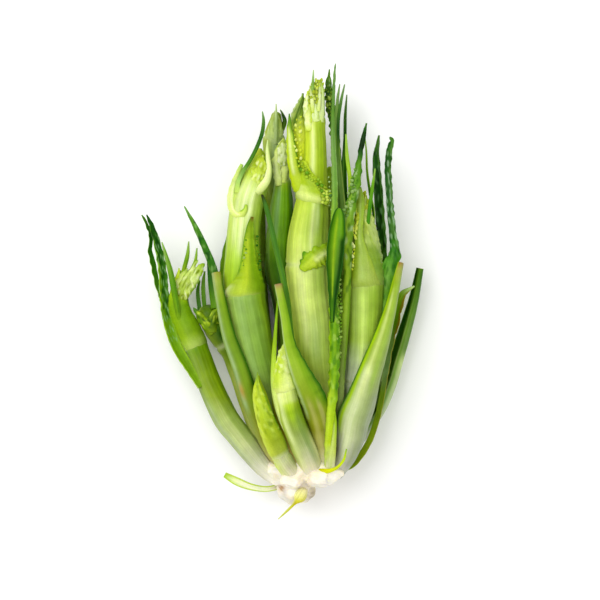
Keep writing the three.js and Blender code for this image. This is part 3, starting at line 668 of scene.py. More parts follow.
def bud_spray():
    """Node group: scatters plump buds over a surface and colours them. Spacing and size are metres."""
    tree = bpy.data.node_groups.new("bud_spray", "GeometryNodeTree")
    face = tree.interface
    face.new_socket("Geometry", in_out="OUTPUT", socket_type="NodeSocketGeometry")
    for name, kind in (
        ("Geometry", "Geometry"), ("Spacing", "Float"), ("Size", "Float"), ("Slenderness", "Float"),
        ("Lean", "Float"), ("Tips", "Vector"), ("Seed", "Int"), ("Base", "Color"), ("Tip", "Color"),
        ("Odd", "Color"), ("Material", "Material"),
    ):
        face.new_socket(name, in_out="INPUT", socket_type="NodeSocket" + kind)
    given = add(tree, "NodeGroupInput").outputs

    def ranged(value, low, high, start, end):
        return add(
            tree, "ShaderNodeMapRange", Value=value, From_Min=low, From_Max=high, To_Min=start, To_Max=end
        ).outputs[0]

    def chance(low, high):
        return add(
            tree, "FunctionNodeRandomValue", {"data_type": "FLOAT"},
            Min_001=low, Max_001=high, Seed=given["Seed"],
        ).outputs[1]

    def times(first, second):
        return add(
            tree, "ShaderNodeMath", {"operation": "MULTIPLY"}, Value=first, Value_001=second
        ).outputs[0]

    def position():
        return add(tree, "GeometryNodeInputPosition").outputs[0]

    def store(geometry, kind, domain, name, value):
        return add(
            tree, "GeometryNodeStoreNamedAttribute", {"data_type": kind, "domain": domain},
            Geometry=geometry.outputs[0], Name=name, Value=value,
        )

    def stored(name):
        return add(tree, "GeometryNodeInputNamedAttribute", {"data_type": "FLOAT"}, Name=name).outputs[0]

    # Each bud leans from the normal of the surface towards the tips, a little off to one side.
    scattered = add(
        tree, "GeometryNodeDistributePointsOnFaces", {"distribute_method": "POISSON"},
        Mesh=given["Geometry"], Distance_Min=given["Spacing"], Density_Max=1.0e7, Seed=given["Seed"],
    )
    stray = 0.35
    jitter = add(
        tree, "FunctionNodeRandomValue", {"data_type": "FLOAT_VECTOR"},
        Min=(-stray,) * 3, Max=(stray,) * 3, Seed=given["Seed"],
    )
    heading = add(
        tree, "ShaderNodeMix", {"data_type": "VECTOR"}, Factor_Float=given["Lean"],
        A_Vector=scattered.outputs["Normal"], B_Vector=given["Tips"],
    )
    heading = add(
        tree, "ShaderNodeVectorMath", {"operation": "ADD"},
        Vector=heading.outputs[1], Vector_001=jitter.outputs[0],
    )
    turned = add(tree, "FunctionNodeAlignRotationToVector", {"axis": "Z"}, Vector=heading.outputs[0])

    # A bud is a small ball, slimmed and pinched towards its tip, which keeps its height as an attribute.
    shoulder, tip_girth, seat = -0.2, 0.55, 0.55  # in radii of the ball
    ball = add(tree, "GeometryNodeMeshUVSphere", Segments=8, Rings=6, Radius=1.0)
    place = add(tree, "ShaderNodeSeparateXYZ", Vector=position())
    height = ranged(place.outputs["Z"], -1.0, 1.0, 0.0, 1.0)
    pinch = ranged(place.outputs["Z"], shoulder, 1.0, 1.0, tip_girth)
    girth = times(pinch, given["Slenderness"])
    shape = add(tree, "ShaderNodeCombineXYZ", X=girth, Y=girth, Z=1.0)
    moved = add(
        tree, "ShaderNodeVectorMath", {"operation": "MULTIPLY"},
        Vector=position(), Vector_001=shape.outputs[0],
    )
    marked = store(ball, "FLOAT", "POINT", "height", height)
    bud = add(tree, "GeometryNodeSetPosition", Geometry=marked.outputs[0], Position=moved.outputs[0])
    bud = add(tree, "GeometryNodeTransform", Geometry=bud.outputs[0], Translation=(0, 0, seat))

    least, most = 0.5, 1.25  # of the size asked for
    size = times(chance(least, most), given["Size"])
    sprayed = add(
        tree, "GeometryNodeInstanceOnPoints", Points=scattered.outputs["Points"], Instance=bud.outputs[0],
        Rotation=turned.outputs[0], Scale=size,
    )
    sprayed = store(sprayed, "FLOAT", "INSTANCE", "luck", chance(0.0, 1.0))
    sprayed = add(tree, "GeometryNodeRealizeInstances", Geometry=sprayed.outputs[0])

    # Its colour runs from base to tip, and about three buds in ten turn the odd colour.
    tipped = add(
        tree, "ShaderNodeMix", {"data_type": "RGBA"}, Factor_Float=stored("height"),
        A_Color=given["Base"], B_Color=given["Tip"],
    )
    oddity = ranged(stored("luck"), 0.62, 0.8, 0.0, 0.85)
    colour = add(
        tree, "ShaderNodeMix", {"data_type": "RGBA"}, Factor_Float=oddity,
        A_Color=tipped.outputs[2], B_Color=given["Odd"],
    )
    painted = store(sprayed, "FLOAT_COLOR", "POINT", "skin", colour.outputs[2])
    grain = add(tree, "ShaderNodeVectorMath", {"operation": "SCALE"}, Vector=position(), Scale=1 / MM)
    grained = store(painted, "FLOAT_VECTOR", "POINT", "grain", grain.outputs[0])
    smooth = add(tree, "GeometryNodeSetShadeSmooth", Geometry=grained.outputs[0])
    dressed = add(tree, "GeometryNodeSetMaterial", Geometry=smooth.outputs[0], Material=given["Material"])
    tree.links.new(dressed.outputs[0], add(tree, "NodeGroupOutput").inputs[0])
    return tree


BUD_SPRAY = bud_spray()


def buds(name, rows, spacing, size, colours, arc=(10, 170), lean=0.6, slenderness=0.5):
    """A spray of buds on the upper side of an unseen tube, which covers an arc of it in degrees.

    spacing and size are millimetres, and colours those at the base, at the tip and of the odd bud.
    """
    run = Run(rows, UP, BLADE_STEP)
    s, angle = np.meshgrid(run.s, np.radians(np.linspace(*arc, ARC_POINTS)), indexing="ij")
    points, _ = run.over(s, angle, 0 * s)
    rings, columns = s.shape
    i, j = np.meshgrid(np.arange(rings - 1), np.arange(columns - 1), indexing="ij")
    corner = i * columns + j
    quads = np.stack([corner, corner + columns, corner + columns + 1, corner + 1], -1).reshape(-1, 4)
    blank = np.zeros((s.size, 3))
    piece = build(name, points.reshape(-1, 3), quads.tolist(), blank, blank, [BUD])
    grower = piece.modifiers.new("grower", "NODES")
    grower.node_group = BUD_SPRAY
    base, tip, odd = ((*under_shine(linear(colour)), 1) for colour in colours)
    facts = {
        "Spacing": spacing * MM, "Size": size * MM, "Slenderness": slenderness, "Lean": lean, "Tips": TIPS,
        "Seed": int(dice(name).integers(1000)), "Base": base, "Tip": tip, "Odd": odd, "Material": BUD,
    }
    for item in BUD_SPRAY.interface.items_tree:
        if item.in_out == "INPUT" and item.name in facts:
            grower[item.identifier] = facts[item.name]
    piece.update_tag()
    grown = bpy.data.meshes.new_from_object(piece.evaluated_get(bpy.context.evaluated_depsgraph_get()))
    piece.modifiers.clear()
    piece.data = grown
    grown.name = name
    join_in(piece, name)


# --- crown --------------------------------------------------------------------


def crown(lobes, cuts, bruises):
    """The trimmed crown: lumps of flesh run together, pared with a knife, and bruised.

    A lobe is its centre and radii, a cut a point, the direction that is cut away and how far round the
    point it reaches, and a bruise a place, its reach, a colour, and how strongly it shows.
    """
    shape = bmesh.new()
    for x, y, z, rx, ry, rz in lobes:
        made = bmesh.ops.create_icosphere(shape, subdivisions=4, radius=1.0)
        bmesh.ops.scale(shape, vec=(rx * MM, ry * MM, rz * MM), verts=made["verts"])
        centre = (np.array([x, y, z]) - ORIGIN) * MM
        bmesh.ops.translate(shape, vec=centre.tolist(), verts=made["verts"])
    mesh = bpy.data.meshes.new("crown_lumps")
    shape.to_mesh(mesh)
    shape.free()
    lumps = bpy.data.objects.new("crown_lumps", mesh)
    bpy.context.scene.collection.objects.link(lumps)
    remesh = lumps.modifiers.new("run_together", "REMESH")
    remesh.mode = "VOXEL"
    remesh.voxel_size = CROWN_GRAIN * MM
    even = lumps.modifiers.new("even", "SMOOTH")
    even.iterations = 6
    fused = bpy.data.meshes.new_from_object(lumps.evaluated_get(bpy.context.evaluated_depsgraph_get()))
    bpy.data.objects.remove(lumps)

    count = len(fused.vertices)
    points, normals = np.empty(count * 3), np.empty(count * 3)
    fused.vertices.foreach_get("co", points)
    fused.vertices.foreach_get("normal", normals)
    points = points.reshape(-1, 3) / MM + ORIGIN
    normals = normals.reshape(-1, 3)
    rng = dice("crown")
    lump_size, lump_height, fine_size, fine_height = 7, 0.5, 2.2, 0.09
    lumpy = mottle(points[:, 0] + 0.4 * points[:, 2], points[:, 1], lump_size, rng)
    fine = mottle(points[:, 0], points[:, 1] + 0.5 * points[:, 2], fine_size, rng)
    points = points + normals * (lump_height * lumpy + fine_height * fine)[:, None]
    pared = np.zeros(count)
    for place, direction, reach in cuts:
        direction = np.array(direction, float) / np.linalg.norm(direction)
        apart = points - np.array(place, float)
        inside = 1 - smoothstep(0.7, 1, np.linalg.norm(apart, axis=1) / reach)
        over = (apart @ direction + 0.15 * fine) * inside
        pared = np.maximum(pared, smoothstep(0, 0.6, over))
        points = points - direction * np.maximum(over, 0)[:, None]

    butt, neck = -8, 28  # the y at which the crown's colours start and end
    cream = ((0, "#f0e8d6"), (0.3, "#fff6e2"), (0.6, "#f8f0d8"), (0.85, "#e2e0bc"), (1, "#b9bf90"))
    skin = shades(cream, (points[:, 1] - butt) / (neck - butt))
    skin = mix(skin, linear("#ffecd6"), 0.5 * np.clip(lumpy, 0, 1))
    skin = mix(skin, linear("#e9dcc0"), 0.5 * np.clip(fine - 0.5, 0, 1))
    skin = mix(skin, linear("#fffcf0"), 0.6 * pared)
    for place, reach, colour, weight in bruises:
        apart = (points - np.array(place, float)) * np.array([1, 1, 0.3])
        near = bell(np.linalg.norm(apart, axis=1) + 0.6 * fine, 0, reach)
        skin = mix(skin, linear(colour), weight * near)
    faces = [list(polygon.vertices) for polygon in fused.polygons]
    piece = build("crown_pared", points, faces, skin, points.copy(), [FLESH])
    join_in(piece, "crown")


# --- the head's pieces --------------------------------------------------------

# Shoots, from the ones seen first to the ones underneath, and the root left on the crown.
shoot(
    "main_shoot",
    rows=[
        [15, 23, 36, 8], [13, 60, 42, 12.5], [9, 100, 45, 14], [6, 133, 46, 14.5], [5, 160, 47, 14],
        [7, 183, 47, 12], [8.5, 201, 47, 9.8], [9.3, 227, 45, 8.2], [9.3, 247, 43, 7.4],
        [10.3, 260, 42.5, 6.2], [11.2, 267, 42, 4.4], [12.3, 272, 41.5, 2.2],
    ],
    joints=[151, 248],
    stops=[
        (0, CREAM), (0.08, "#b4b46c"), (0.2, "#93a544"), (0.3, "#a5bf50"), (0.42, "#cfe078"),
        (0.52, "#d7e684"), (0.6, "#c6da68"), (0.71, "#bcd24c"), (0.74, "#bcd044"), (0.92, "#c6d854"),
        (1, "#c3d848"),
    ],
    left=("#bfd43c", 0.6), right=("#779c1c", 0.42), around=128, depth=0.34,
    # Its pale stripes are painted highlights and its dark green stripe on the right painted shade; the
    # lighter stop at 0.3 and the light stripe low on its right are painted light against the shade of its
    # neighbours.
    stripes=[
        (97, 9, "#eef5b4", 0.95, 208, 245), (118, 14, "#c9da28", 0.7, 205, 250),
        (55, 22, "#7fa51c", 0.75, 130, 250), (95, 8, "#93b030", 0.45, 160, 200),
        (80, 6, "#e9f2b0", 0.6, 160, 196), (66, 6, "#c3d494", 0.7, 172, 192),
        (46, 12, "#b4cc60", 0.6, 60, 150), (110, 10, "#e6f0a4", 0.6, 95, 150),
        (84, 13, "#a3b47c", 0.6, 88, 116),
    ],
)
shoot(
    "left_shoot",
    rows=[
        [-7, 17, 36, 6], [-13, 33, 38, 8], [-22, 60, 41, 10.7], [-29, 87, 43, 12.7], [-35, 113, 44, 14],
        [-38, 137, 45, 13.3], [-38, 167, 46, 10.9], [-35.4, 190, 46, 10.6], [-29.9, 208, 45, 9.5],
        [-27, 219, 44, 6],
    ],
    joints=[132.5],
    stops=[
        (0, CREAM), (0.08, "#a5b36d"), (0.2, "#8fa558"), (0.35, "#8aad4e"), (0.5, "#8fb056"),
        (0.56, "#93b45c"), (0.59, "#98bc28"), (0.66, "#a3c83c"), (0.76, "#c6dc70"), (0.9, "#cfe080"),
        (0.95, "#b9d040"), (1, "#b4cc38"),
    ],
    left=("#b4d048", 0.5), right=("#769c28", 0.75), around=112, depth=0.28,
    # Its near-white stripes near the top are painted highlights.
    stripes=[
        (100, 10, "#f0f6c4", 0.8, 160, 205), (125, 8, "#edf4bc", 0.7, 165, 205),
        (78, 7, "#f2f8c8", 0.8, 165, 200), (112, 5, "#b4d060", 0.5, 160, 205),
        (88, 5, "#b4d060", 0.5, 160, 205), (40, 14, "#8fb41c", 0.6, 120, 205),
        (25, 14, "#8fae2c", 0.8, 60, 132), (150, 12, "#b9d468", 0.5, 90, 132),
        (105, 12, "#9ab874", 0.5, 70, 130), (85, 7, "#7fa036", 0.45, 60, 130),
    ],
)
shoot(
    "right_shoot",
    rows=[
        [30, 27, 34, 6], [37, 53, 40, 8.7], [41, 80, 43, 10.5], [43, 107, 45, 12], [43, 133, 46, 12.8],
        [42, 155, 46, 11.5], [41, 175, 45, 8], [41, 192, 44, 3.6],
    ],
    joints=[72, 138],
    # The pale stops low on it are its own pale base, lightened further as painted light against the shade
    # of its neighbours; its lime stripe is a painted highlight.
    stops=[
        (0, CREAM), (0.15, "#d4dab8"), (0.25, "#e0e8c8"), (0.31, "#e9f0d4"), (0.37, "#cfdcae"),
        (0.45, "#a5c248"), (0.62, "#9fbc4a"), (0.67, "#a5bf54"), (0.8, "#9db558"), (1, "#a5b83c"),
    ],
    left=("#7f9c34", 0.5), right=("#779a2c", 0.62), around=104, depth=0.26,
    stripes=[
        (96, 11, "#cde47a", 0.85, 82, 134), (66, 12, "#8aa83c", 0.5, 82, 134),
        (120, 10, "#a9be74", 0.5, 80, 134), (90, 14, "#b7ca74", 0.6, 138, 180),
        (125, 10, "#86a02c", 0.5, 138, 175),
    ],
)
shoot(
    "under_right_shoot",
    rows=[
        [15, 23, 17, 6], [20, 60, 14, 10.5], [24, 100, 12.3, 12.7], [25, 140, 12.9, 13.3],
        [22, 173, 14, 11.5], [20, 203, 18, 7], [20, 215, 20, 2],
    ],
    joints=[90, 165],
    stops=[(0, CREAM), (0.12, "#b4bf84"), (0.4, "#9fbc55"), (0.7, "#c0d76c"), (1, "#8fae2c")],
    left=("#b4d23e", 0.5), right=("#7fa31c", 0.6), under="#b9cf74",
)
shoot(
    "under_left_shoot",
    rows=[
        [-10, 23, 20, 5.5], [-22, 60, 14, 9.3], [-30, 97, 11.2, 11.5], [-34, 133, 11.6, 12],
        [-33, 167, 13.5, 10], [-30, 193, 16, 6], [-29, 205, 18, 2],
    ],
    joints=[80, 150],
    stops=[(0, CREAM), (0.12, "#b0bb80"), (0.4, "#98b651"), (0.7, "#b5cf60"), (1, "#86a52a")],
    left=("#a8c63c", 0.5), right=("#7fa31c", 0.6), under="#b2c96e",
)
shoot(
    "under_far_right_shoot",
    rows=[
        [30, 25, 20, 5.5], [43, 60, 14, 8.7], [49, 97, 10.2, 10.5], [50, 133, 10.5, 10], [49, 160, 13, 6],
        [48, 175, 15, 1.5],
    ],
    joints=[85],
    stops=[(0, CREAM), (0.15, "#b4bf8a"), (0.5, "#93b04e"), (0.8, "#a6c24c"), (1, "#7c9a26")],
    left=("#a8c63c", 0.4), right=("#7fa31c", 0.5), under="#adc46a",
)
shoot(
    "middle_back_shoot",
    rows=[
        [1, 27, 30, 5], [-2, 50, 29, 7], [-6, 90, 28, 8], [-8, 120, 29, 8.5], [-13, 147, 31, 9],
        [-13.5, 167, 33, 9], [-12, 193, 35, 7.2], [-11.5, 208, 36, 4.6], [-12, 220, 36, 4.2],
        [-12, 229, 36, 3],
    ],
    joints=[207],
    stops=[
        (0, "#c9cf9a"), (0.2, "#5d7f18"), (0.5, "#2a4c05"), (0.62, "#3f6a08"), (0.68, "#6a9a10"),
        (0.85, "#76a418"), (0.895, "#a9c83a"), (0.91, "#dce98c"), (1, "#cfdf6c"),
    ],
    left=("#7fa04c", 0.6), right=("#3a640a", 0.8), around=72,
    stripes=[(112, 12, "#86a87c", 0.7, 165, 204), (70, 14, "#6f9c10", 0.5, 150, 205)],
)
shoot(
    "back_left_shoot",
    rows=[
        [-1, 20, 22, 5.5], [-3, 47, 15, 7.5], [-7, 100, 12, 8.7], [-8, 127, 12, 8.7], [-11, 160, 14, 8.7],
        [-15, 193, 19, 8.3], [-17.3, 220, 25, 7.6], [-17.3, 238, 28, 6.4], [-16, 250, 28, 3.6],
    ],
    joints=[150, 237],
    stops=[
        (0, CREAM), (0.12, "#9dab62"), (0.4, "#5f8414"), (0.6, "#4f780c"), (0.75, "#7f9c2c"),
        (0.85, "#9fb468"), (0.94, "#a9bb70"), (0.955, "#a3b552"), (1, "#93a844"),
    ],
    left=("#9bad30", 0.7), right=("#5f8014", 0.8), around=72,
    stripes=[(80, 22, "#b4ca90", 0.8, 205, 236), (128, 14, "#a5b83c", 0.6, 205, 236)],
)
shoot(
    "far_left_shoot",
    rows=[
        [-15, 8, 37, 5.4], [-24, 15.3, 38, 6.8], [-33.4, 26.7, 36.5, 8], [-42, 37.4, 34.5, 8.2],
        [-50.5, 49, 32.5, 8.4], [-61, 71, 29.5, 8.2], [-69, 92, 28, 7.9], [-76, 108, 27, 7.6],
        [-81, 122, 27, 6.8], [-81, 135, 27, 5.4], [-80, 144, 27, 3],
    ],
    joints=[97],
    stops=[
        (0, "#f4eedc"), (0.06, "#e6e2cc"), (0.12, "#bcc09c"), (0.2, "#c3ca90"), (0.32, "#b4c278"),
        (0.45, "#84991f"), (0.62, "#6c8a10"), (0.66, "#668c04"), (0.9, "#689002"), (1, "#9ab648"),
    ],
    left=("#8ca85c", 0.5), right=("#84a80c", 0.75), around=80, ribs=8, depth=0.2,
    stripes=[
        (118, 16, "#b4cc70", 0.35, 50, 95), (70, 12, "#7f9c2c", 0.5, 30, 92),
        (140, 14, "#a9b894", 0.6, 20, 60), (25, 14, "#c3a868", 0.9, 8, 30),
    ],
)
shoot(
    "small_left_shoot",
    rows=[
        [-10, 17, 32, 4.8], [-25, 33, 33, 6], [-35.5, 60, 27, 6.3], [-42, 79, 25, 6.3], [-47, 93, 25, 6.8],
        [-56, 107, 26, 8.3], [-62, 117, 28, 7.2],
    ],
    joints=[98],
    stops=[
        (0, CREAM), (0.15, "#b4b468"), (0.4, "#8f9330"), (0.6, "#87982c"), (0.7, "#4f6f0c"),
        (0.85, "#38580a"), (1, "#5c7c14"),
    ],
    left=("#a9be54", 0.6), right=("#4f6a0c", 0.6), around=72, ribs=8, depth=0.18,
    stripes=[(125, 14, "#c0c878", 0.6, 28, 80), (60, 9, "#c9962c", 0.5, 56, 64)],
)
shoot(
    "front_middle_shoot",
    rows=[
        [9.2, 9, 41, 5.6], [7.6, 15.5, 48.5, 7.1], [4.2, 25, 56.8, 8], [0.8, 33, 60.2, 8.1],
        [-3, 42, 62.5, 8.1], [-6.8, 53, 64, 8], [-9.8, 67, 66, 7.4], [-10.6, 77, 66, 6.6],
        [-10, 86, 65, 5.2], [-8.4, 95, 63.5, 3.2], [-7, 101, 62, 1.2],
    ],
    joints=[68],
    stops=[
        (0, "#faf4e6"), (0.12, "#f4ecd8"), (0.17, "#e0dab4"), (0.24, "#c6c89c"), (0.31, "#a3ae74"),
        (0.4, "#8a9c50"), (0.53, "#8fae2c"), (0.58, "#bcd648"), (0.61, "#e2ee94"), (0.8, "#d5e652"),
        (0.9, "#d9e874"), (1, "#c3d468"),
    ],
    left=("#c9de4c", 0.6), right=("#6a8c1c", 0.75), around=84, ribs=7, depth=0.18,
    stripes=[
        (128, 12, "#e4edb0", 0.75, 30, 70), (60, 12, "#7d9a54", 0.5, 22, 52),
        (85, 10, "#a9cc24", 0.5, 45, 66), (22, 16, "#e0dca0", 0.8, 8, 38),
    ],
)
shoot(
    "front_small_shoot",
    rows=[
        [-2.8, 7.5, 42, 5.6], [-6.8, 14, 50, 6.6], [-12, 22, 57, 6.1], [-16.8, 33, 60.5, 6.1],
        [-20.6, 43, 62.5, 5.8], [-23.5, 53, 64, 5.3], [-26, 63, 63, 4.5], [-27.5, 71, 62, 2.6],
        [-27.8, 76, 61.5, 1.2],
    ],
    joints=[22.5],
    stops=[
        (0, "#faf4e6"), (0.1, "#f4ecd8"), (0.18, "#e0dab8"), (0.29, "#b9bc8c"), (0.37, "#c6ca9c"),
        (0.42, "#f0f0e0"), (0.47, "#b0bc70"), (0.62, "#94a838"), (1, "#98ac30"),
    ],
    left=("#d4e65c", 0.8), right=("#8aa42a", 0.6), around=64, ribs=7, depth=0.15,
)
for name, joint, shade, rows in (
    ("under_small_shoot", 52, "#b9c47c", [
        [-8, 20, 11, 4], [-14, 38, 7.5, 5.3], [-16, 55, 5.5, 5.5], [-17, 66, 5.5, 4.5], [-18, 78, 6, 1],
    ]),
    ("under_middle_shoot", 50, "#bcc680", [
        [20, 15, 11, 4.5], [33, 32, 7.5, 6], [38, 48, 6, 6], [39, 60, 6, 5], [40, 72, 6, 1.2],
    ]),
):
    shoot(
        name, rows=rows, joints=[joint],
        stops=[(0, CREAM), (0.3, shade), (0.7, "#a3be48"), (1, "#8aa62c")],
        left=("#a8c63c", 0.4), right=("#8aa42a", 0.4), around=56, ribs=7, depth=0.18, under="#b4c87a",
    )
shoot(
    "rootlet",
    rows=[
        [2.8, 0.5, 44, 2.4], [1.2, -2.2, 45.6, 4], [-0.6, -5.2, 45.6, 3.9], [-2.6, -7.8, 44.6, 1.7],
        [-4.6, -10, 43.6, 1], [-9.4, -14.8, 42.4, 0.8], [-14.6, -19.6, 42, 0.3],
    ],
    joints=[],
    stops=[
        (0, "#e9e0b4"), (0.2, "#e6e48c"), (0.3, "#d9d43c"), (0.42, "#c3b820"), (0.55, "#c9cc3c"),
        (1, "#bccb5c"),
    ],
    left=("#cfc418", 0.7), right=("#f2eeb0", 0.6), around=40, ribs=5, depth=0.05,
    material=BRACT,
)

# Leaf stalks, cut across.
stalk(
    "right_cut_stalk", face=(-0.3, 0, -0.95), curl=62, thick=(6.5, 1.6), thin_from=6,
    rows=[
        [24.6, 9.5, 42, 4.2], [27.6, 15, 46.5, 6.4], [32.2, 24, 51, 8.6], [35.3, 35, 55, 12],
        [37.5, 47, 58.5, 13.7], [42, 60, 61, 12.2], [46, 74, 61.5, 9.9], [50.3, 87, 61.5, 8.5],
        [54.8, 101, 60.5, 6.6], [58.4, 114, 59, 4.9], [61.6, 127, 57.5, 3.7], [64.4, 140, 56, 2.8],
        [67, 151.5, 54.5, 1.9],
    ],
    outer=[
        (0, "#e4e0d8"), (0.06, "#cfcac4"), (0.14, "#b4b4a4"), (0.22, "#b9c094"), (0.32, "#acbc7c"),
        (0.5, "#9cb054"), (0.7, "#98b438"), (0.9, "#93b028"), (0.97, "#a3a84c"), (1, "#94703c"),
    ],
    inner=DARK_IN, right=("#93a878", 0.8),
    # Its pale cream band is a painted highlight.
    bands=[
        (0.35, 0.25, "#dbe4b0", 0.75, 0.1, 0.5), (0.74, 0.12, "#a9cf1c", 0.95, 0.25, 1.1),
        (0.97, 0.12, "#3a7a10", 0.95, 0.25, 1.1), (-0.25, 0.3, "#8f9c64", 0.55, 0.1, 0.45),
        (-0.6, 0.3, "#a0a894", 0.7, 0, 0.4), (0.3, 0.14, "#d4e08c", 0.6, 0.4, 0.85),
        (-0.1, 0.14, "#a3c454", 0.5, 0.45, 0.9),
    ],
)
stalk(
    "far_right_cut_stalk", face=(-0.93, 0, 0.37), curl=85, thick=(5.5, 1.4), thin_from=8,
    rows=[
        [31, 17, 26, 5.3], [37, 27, 22, 7], [47, 41, 20, 8], [56, 55, 20, 8.3], [62.5, 71, 20, 8.2],
        [67, 87, 21, 7.8], [71.5, 103, 22, 6.8], [77.5, 127, 23, 4.8], [81.3, 148, 24, 3.2],
    ],
    outer=[
        (0, "#e6e3d0"), (0.15, "#a3a894"), (0.35, "#b4c894"), (0.6, "#b8cc80"), (0.85, "#90b05c"),
        (0.97, "#64801c"), (1, "#6f8c20"),
    ],
    inner=[(0, "#93a864"), (0.3, "#7f9c54"), (0.55, "#44701c"), (0.8, "#2c540c"), (1, "#2a500c")],
    left=("#6f9c34", 0.6),
    bands=[(0.9, 0.15, "#5c8c14", 0.8, 0.1, 1.1), (0.5, 0.4, "#3a6c1c", 0.8, 0.6, 1.1)],
)
stalk(
    "left_cut_stalk", face=(0.4, 0, -0.9), curl=60, thick=(5, 1.2), thin_from=5,
    rows=[
        [-11.5, 15, 45, 4.6], [-20.5, 28, 49, 6.6], [-28.5, 46, 52.5, 7.4], [-35, 63, 55.5, 7.2],
        [-41, 83, 58, 6.3], [-48, 103, 59, 5.3], [-53, 127, 58, 3.9], [-56, 145, 56, 3.2],
    ],
    outer=[
        (0, "#cfb888"), (0.08, "#b4a860"), (0.16, "#8c8a2c"), (0.35, "#788828"), (0.6, "#6f8c34"),
        (0.85, "#74941c"), (0.95, "#a3ac54"), (1, "#a5984c"),
    ],
    inner=DARK_IN, left=("#9db468", 0.6), right=("#5c8418", 0.7),
    bands=[
        (0.25, 0.18, "#a0b880", 0.8, 0.35, 1.1), (-0.88, 0.2, "#3a6a10", 0.9, 0.2, 0.95),
        (-0.35, 0.25, "#7fa428", 0.5, 0.3, 1), (0.2, 0.2, "#c08c2c", 0.8, 0.42, 0.43),
    ],
)
stalk(
    "centre_cut_stalk", face=(0.3, 0, -0.95), curl=50, thick=(5, 1.2), flanks=(1.35, 0.65), thin_from=5,
    rows=[
        [14.5, 19, 49, 6.4], [13, 28, 54, 8], [10.5, 43, 61.5, 9.4], [5, 60, 68.5, 9.4], [-2, 77, 75, 7.3],
        [-8, 97, 77, 4], [-11, 117, 76, 3], [-15, 137, 74, 2.5],
    ],
    outer=[
        (0, "#ece4c0"), (0.1, "#c0ba70"), (0.2, "#8c9030"), (0.32, "#82922a"), (0.45, "#8fa838"),
        (0.55, "#98b440"), (0.7, "#93b438"), (0.9, "#93b43c"), (0.97, "#a3ac50"), (1, "#9c7c58"),
    ],
    inner=DARK_IN, right=("#5c8c18", 0.55), wave=(0.35, 9), wavy=(0.25, 0.7),
    bands=[
        (0.4, 0.18, "#b4c888", 0.8, 0.3, 1.1), (0.92, 0.15, "#7f9a24", 0.6, 0.3, 1),
        (-0.95, 0.2, "#2f6410", 0.95, 0.34, 0.98), (-0.6, 0.25, "#6f9c14", 0.6, 0.35, 0.95),
        (-0.1, 0.12, "#bcb870", 0.5, 0.1, 0.36), (-0.5, 0.1, "#c3bc7c", 0.5, 0.12, 0.34),
    ],
)
stalk(
    "under_cut_stalk", face=(0, 0, 1), curl=50, thick=(4.6, 1.4),
    rows=[
        [5, 20, 8, 6], [6, 45, 3, 5.6], [7, 80, 2.6, 5.2], [7, 120, 2.6, 4.8], [6, 150, 3.2, 4.2],
        [5, 172, 5, 3.6],
    ],
    outer=[(0, CREAM), (0.3, "#b4c184"), (1, "#98b24c")],
    inner=[(0, "#b4c184"), (0.3, "#5f8a1c"), (1, "#4f7c14")], edge="#7fa424",
)


# Bracts that clasp a shoot.
sheath(
    "left_shoot_pointed_bract", parent="left_shoot", thick=(1.3, 0.5), roll=0.5,
    rows=[
        [129, 160, 129, -4, -0.9], [131.5, 153, 131, 0, 0.4], [135.5, 138, 135, 6, 0.6],
        [141, 112, 141, 22, 0.7], [148, 98, 148, 38, 0.9], [157, 91, 157, 47, 1.2], [169, 85, 169, 55, 1.6],
        [177, 79, 177, 60, 2], [182.5, 72, 182.5, 64, 2.4],
    ],
    outer=[
        (0, "#b9cc70"), (0.07, "#a9c048"), (0.25, "#9cb828"), (0.7, "#a0b834"), (0.92, "#7f9c24"),
        (1, "#6c3c1c"),
    ],
    left=("#a9c81c", 0.3), right=("#6a940c", 0.7), crinkle=0.1, wave=(0.3, 5),
    bands=[
        (0.3, 0.25, "#bcd03c", 0.6, 0.05, 0.7), (-0.45, 0.4, "#76a010", 0.7, 0.08, 0.8),
        (0.93, 0.2, "#dbe6a0", 0.7, 0, 0.14), (-0.97, 0.1, "#5c8f1c", 0.8, 0.15, 0.95),
        (0.97, 0.1, "#5c8f1c", 0.8, 0.3, 0.95),
    ],
)
sheath(
    "main_shoot_collar", parent="main_shoot", thick=(1.4, 0.7), roll=0.3,
    rows=[
        [193, 190, 189.5, -18, -0.8], [196, 188, 191.5, -14, 0.8], [199, 186, 194, -6, 1.2],
        [203, 182, 197.5, 14, 1.1], [207, 178, 201.5, 40, 1.2], [211, 172, 205.5, 66, 1.4],
        [215.5, 165, 210.5, 94, 1.7], [220, 160, 218, 120, 2.1],
    ],
    outer=[(0, "#c9dc70"), (0.12, "#d9e688"), (0.25, "#b4cc3c"), (0.6, "#aec83c"), (1, "#bcd044")],
    left=("#b4ce24", 0.6), right=("#93b42c", 0.4), crinkle=0.3, wave=(0.3, 7),
    bands=[
        (0, 0.4, "#98b834", 0.4, 0.25, 0.7), (0.45, 0.3, "#dfea94", 0.6, 0.05, 0.35),
        (-0.75, 0.2, "#a9c420", 0.7, 0, 0.9),
    ],
)
